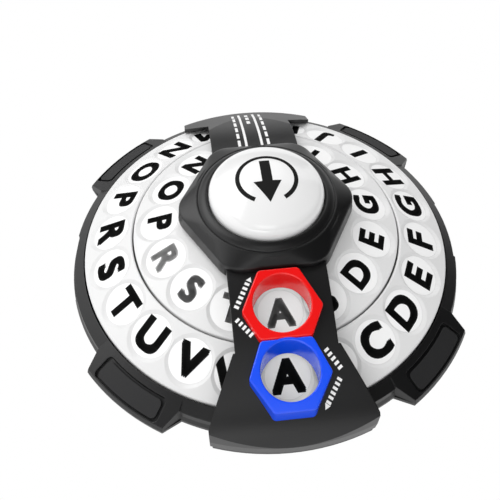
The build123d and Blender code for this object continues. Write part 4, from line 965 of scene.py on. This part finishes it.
@dataclass
class Studio:
    """White table, sky, soft boxes and black cards round the game.

    Lengths are millimetres. The table lies a little below the feet, so that no face of theirs
    falls together with it.
    """

    sky_strength: float = 0.66
    floor_reach: float = 3000.0
    floor_drop: float = 0.5
    floor_white: float = 0.85
    floor_roughness: float = 0.9
    card_black: float = 0.005
    target_height: float = 40.0
    bounces: int = 8
    lamps: tuple[SoftBox, ...] = (
        SoftBox("key_soft_box", azimuth=-120, elevation=50, distance=900, width=600, height=600,
                watts=3.1),
        SoftBox("rear_soft_box", azimuth=190, elevation=40, distance=900, width=900, height=500,
                watts=0.8),
        SoftBox("front_soft_box", azimuth=-20, elevation=20, distance=800, width=500, height=240,
                watts=0.8),
        SoftBox("camera_soft_box", azimuth=-7, elevation=56, distance=900, width=400, height=400,
                watts=0.8),
    )
    flags: tuple[Flag, ...] = (
        Flag("overhead_flag", azimuth=0, elevation=75, distance=1300, width=2400, height=2900),
        Flag("right_flag", azimuth=85, elevation=25, distance=1300, width=2400, height=1500),
        Flag("rear_flag", azimuth=180, elevation=12, distance=1500, width=2000, height=520),
    )

    def white_when_seen(self, tree: bpy.types.NodeTree, shader: bpy.types.NodeSocket,
                        plain: bpy.types.NodeSocket, output: bpy.types.NodeSocket) -> None:
        """Send plain white to the camera, mirrors and glass, and the shader to other rays.

        Args:
            tree: The tree of the world or the floor.
            shader: What lights the object.
            plain: The white that is seen.
            output: The surface socket to feed.
        """
        path = tree.nodes.new("ShaderNodeLightPath")
        seen = path.outputs["Is Camera Ray"]
        for name in ("Is Glossy Ray", "Is Transmission Ray"):
            either = tree.nodes.new("ShaderNodeMath")
            either.operation = "MAXIMUM"
            tree.links.new(seen, either.inputs[0])
            tree.links.new(path.outputs[name], either.inputs[1])
            seen = either.outputs[0]
        mix = tree.nodes.new("ShaderNodeMixShader")
        tree.links.new(seen, mix.inputs[0])
        tree.links.new(shader, mix.inputs[1])
        tree.links.new(plain, mix.inputs[2])
        tree.links.new(mix.outputs[0], output)

    def build_world(self) -> None:
        """Make the sky: soft light from all round, plain white to the camera."""
        world = bpy.data.worlds.new("studio_sky")
        world.use_nodes = True
        bpy.context.scene.world = world
        tree = world.node_tree
        light = tree.nodes["Background"]
        light.inputs["Color"].default_value = PLAIN_WHITE
        light.inputs["Strength"].default_value = self.sky_strength
        plain = tree.nodes.new("ShaderNodeBackground")
        plain.inputs["Color"].default_value = PLAIN_WHITE
        self.white_when_seen(tree, light.outputs[0], plain.outputs[0],
                             tree.nodes["World Output"].inputs["Surface"])

    def build_floor(self) -> None:
        """Make the white table under the game."""
        reach = self.floor_reach * MM
        floor = bpy.data.objects.new("studio_floor", flat_quad("studio_floor", reach, reach))
        floor.location.z = -self.floor_drop * MM
        bpy.context.scene.collection.objects.link(floor)
        graph = ShaderGraph("studio_white")
        graph.feed("Base Color", (self.floor_white, self.floor_white, self.floor_white, 1.0))
        graph.feed("Roughness", self.floor_roughness)
        plain = graph.add("ShaderNodeEmission", color=PLAIN_WHITE, strength=1.0)
        self.white_when_seen(graph.tree, graph.shader.outputs[0], plain.outputs[0],
                             graph.tree.nodes["Material Output"].inputs["Surface"])
        floor.data.materials.append(graph.material)

    def build(self) -> None:
        """Set up the sky, the floor, the lamps and the cards."""
        self.build_world()
        self.build_floor()
        middle = Vector((0, 0, self.target_height))
        for lamp in self.lamps:
            lamp.build(middle)
        black = ShaderGraph("studio_black")
        black.feed("Base Color", (self.card_black, self.card_black, self.card_black, 1.0))
        black.feed("Roughness", 1.0)
        black.feed("Specular IOR Level", 0.0)
        for flag in self.flags:
            flag.build(middle, black.material)
        scene = bpy.context.scene
        scene.view_settings.view_transform = "Standard"
        scene.view_settings.look = "None"
        scene.view_settings.exposure = 0.0
        scene.view_settings.gamma = 1.0
        scene.cycles.use_denoising = True
        scene.cycles.max_bounces = self.bounces
        LOG.info("studio of %d soft boxes and %d black cards", len(self.lamps), len(self.flags))


def save_size() -> None:
    """Update the view layer."""
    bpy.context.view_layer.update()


def clear_scene() -> None:
    """Remove what the start-up file holds."""
    for obj in list(bpy.data.objects):
        bpy.data.objects.remove(obj)


def main() -> None:
    """Build the looks in order: nodes, coil, letters, printed marks, camera and studio."""
    logging.basicConfig(level=logging.INFO, format="%(message)s")
    clear_scene()
    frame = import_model()
    save_size()
    paintbox = Paintbox()
    MouldedParts(frame, paintbox).build()
    ReturnSpring().build(paintbox)
    LetterRing("outer_letters", "outer_letter_wheel", "ABCDEFGHIJKLMNOPRSTUVW",
               circle=88.5, slope=0.514, height=31.453, cap_height=18.6).build(paintbox)
    LetterRing("inner_letters", "inner_letter_wheel", "ABDEGHILMNOPRST",
               circle=59.3, slope=0.364, height=44.257, cap_height=16.0,
               tints={0: Surface.MID_INK, 12: Surface.PALE_INK, 13: Surface.MID_INK,
                      14: Surface.MID_INK}).build(paintbox)
    RearArmStripes().build(frame, paintbox)
    WindowMarks().build(frame, paintbox)
    PressMark().build(frame, paintbox)
    StudioCamera().build()
    Studio().build()
    save_size()


if __name__ == "__main__":
    main()
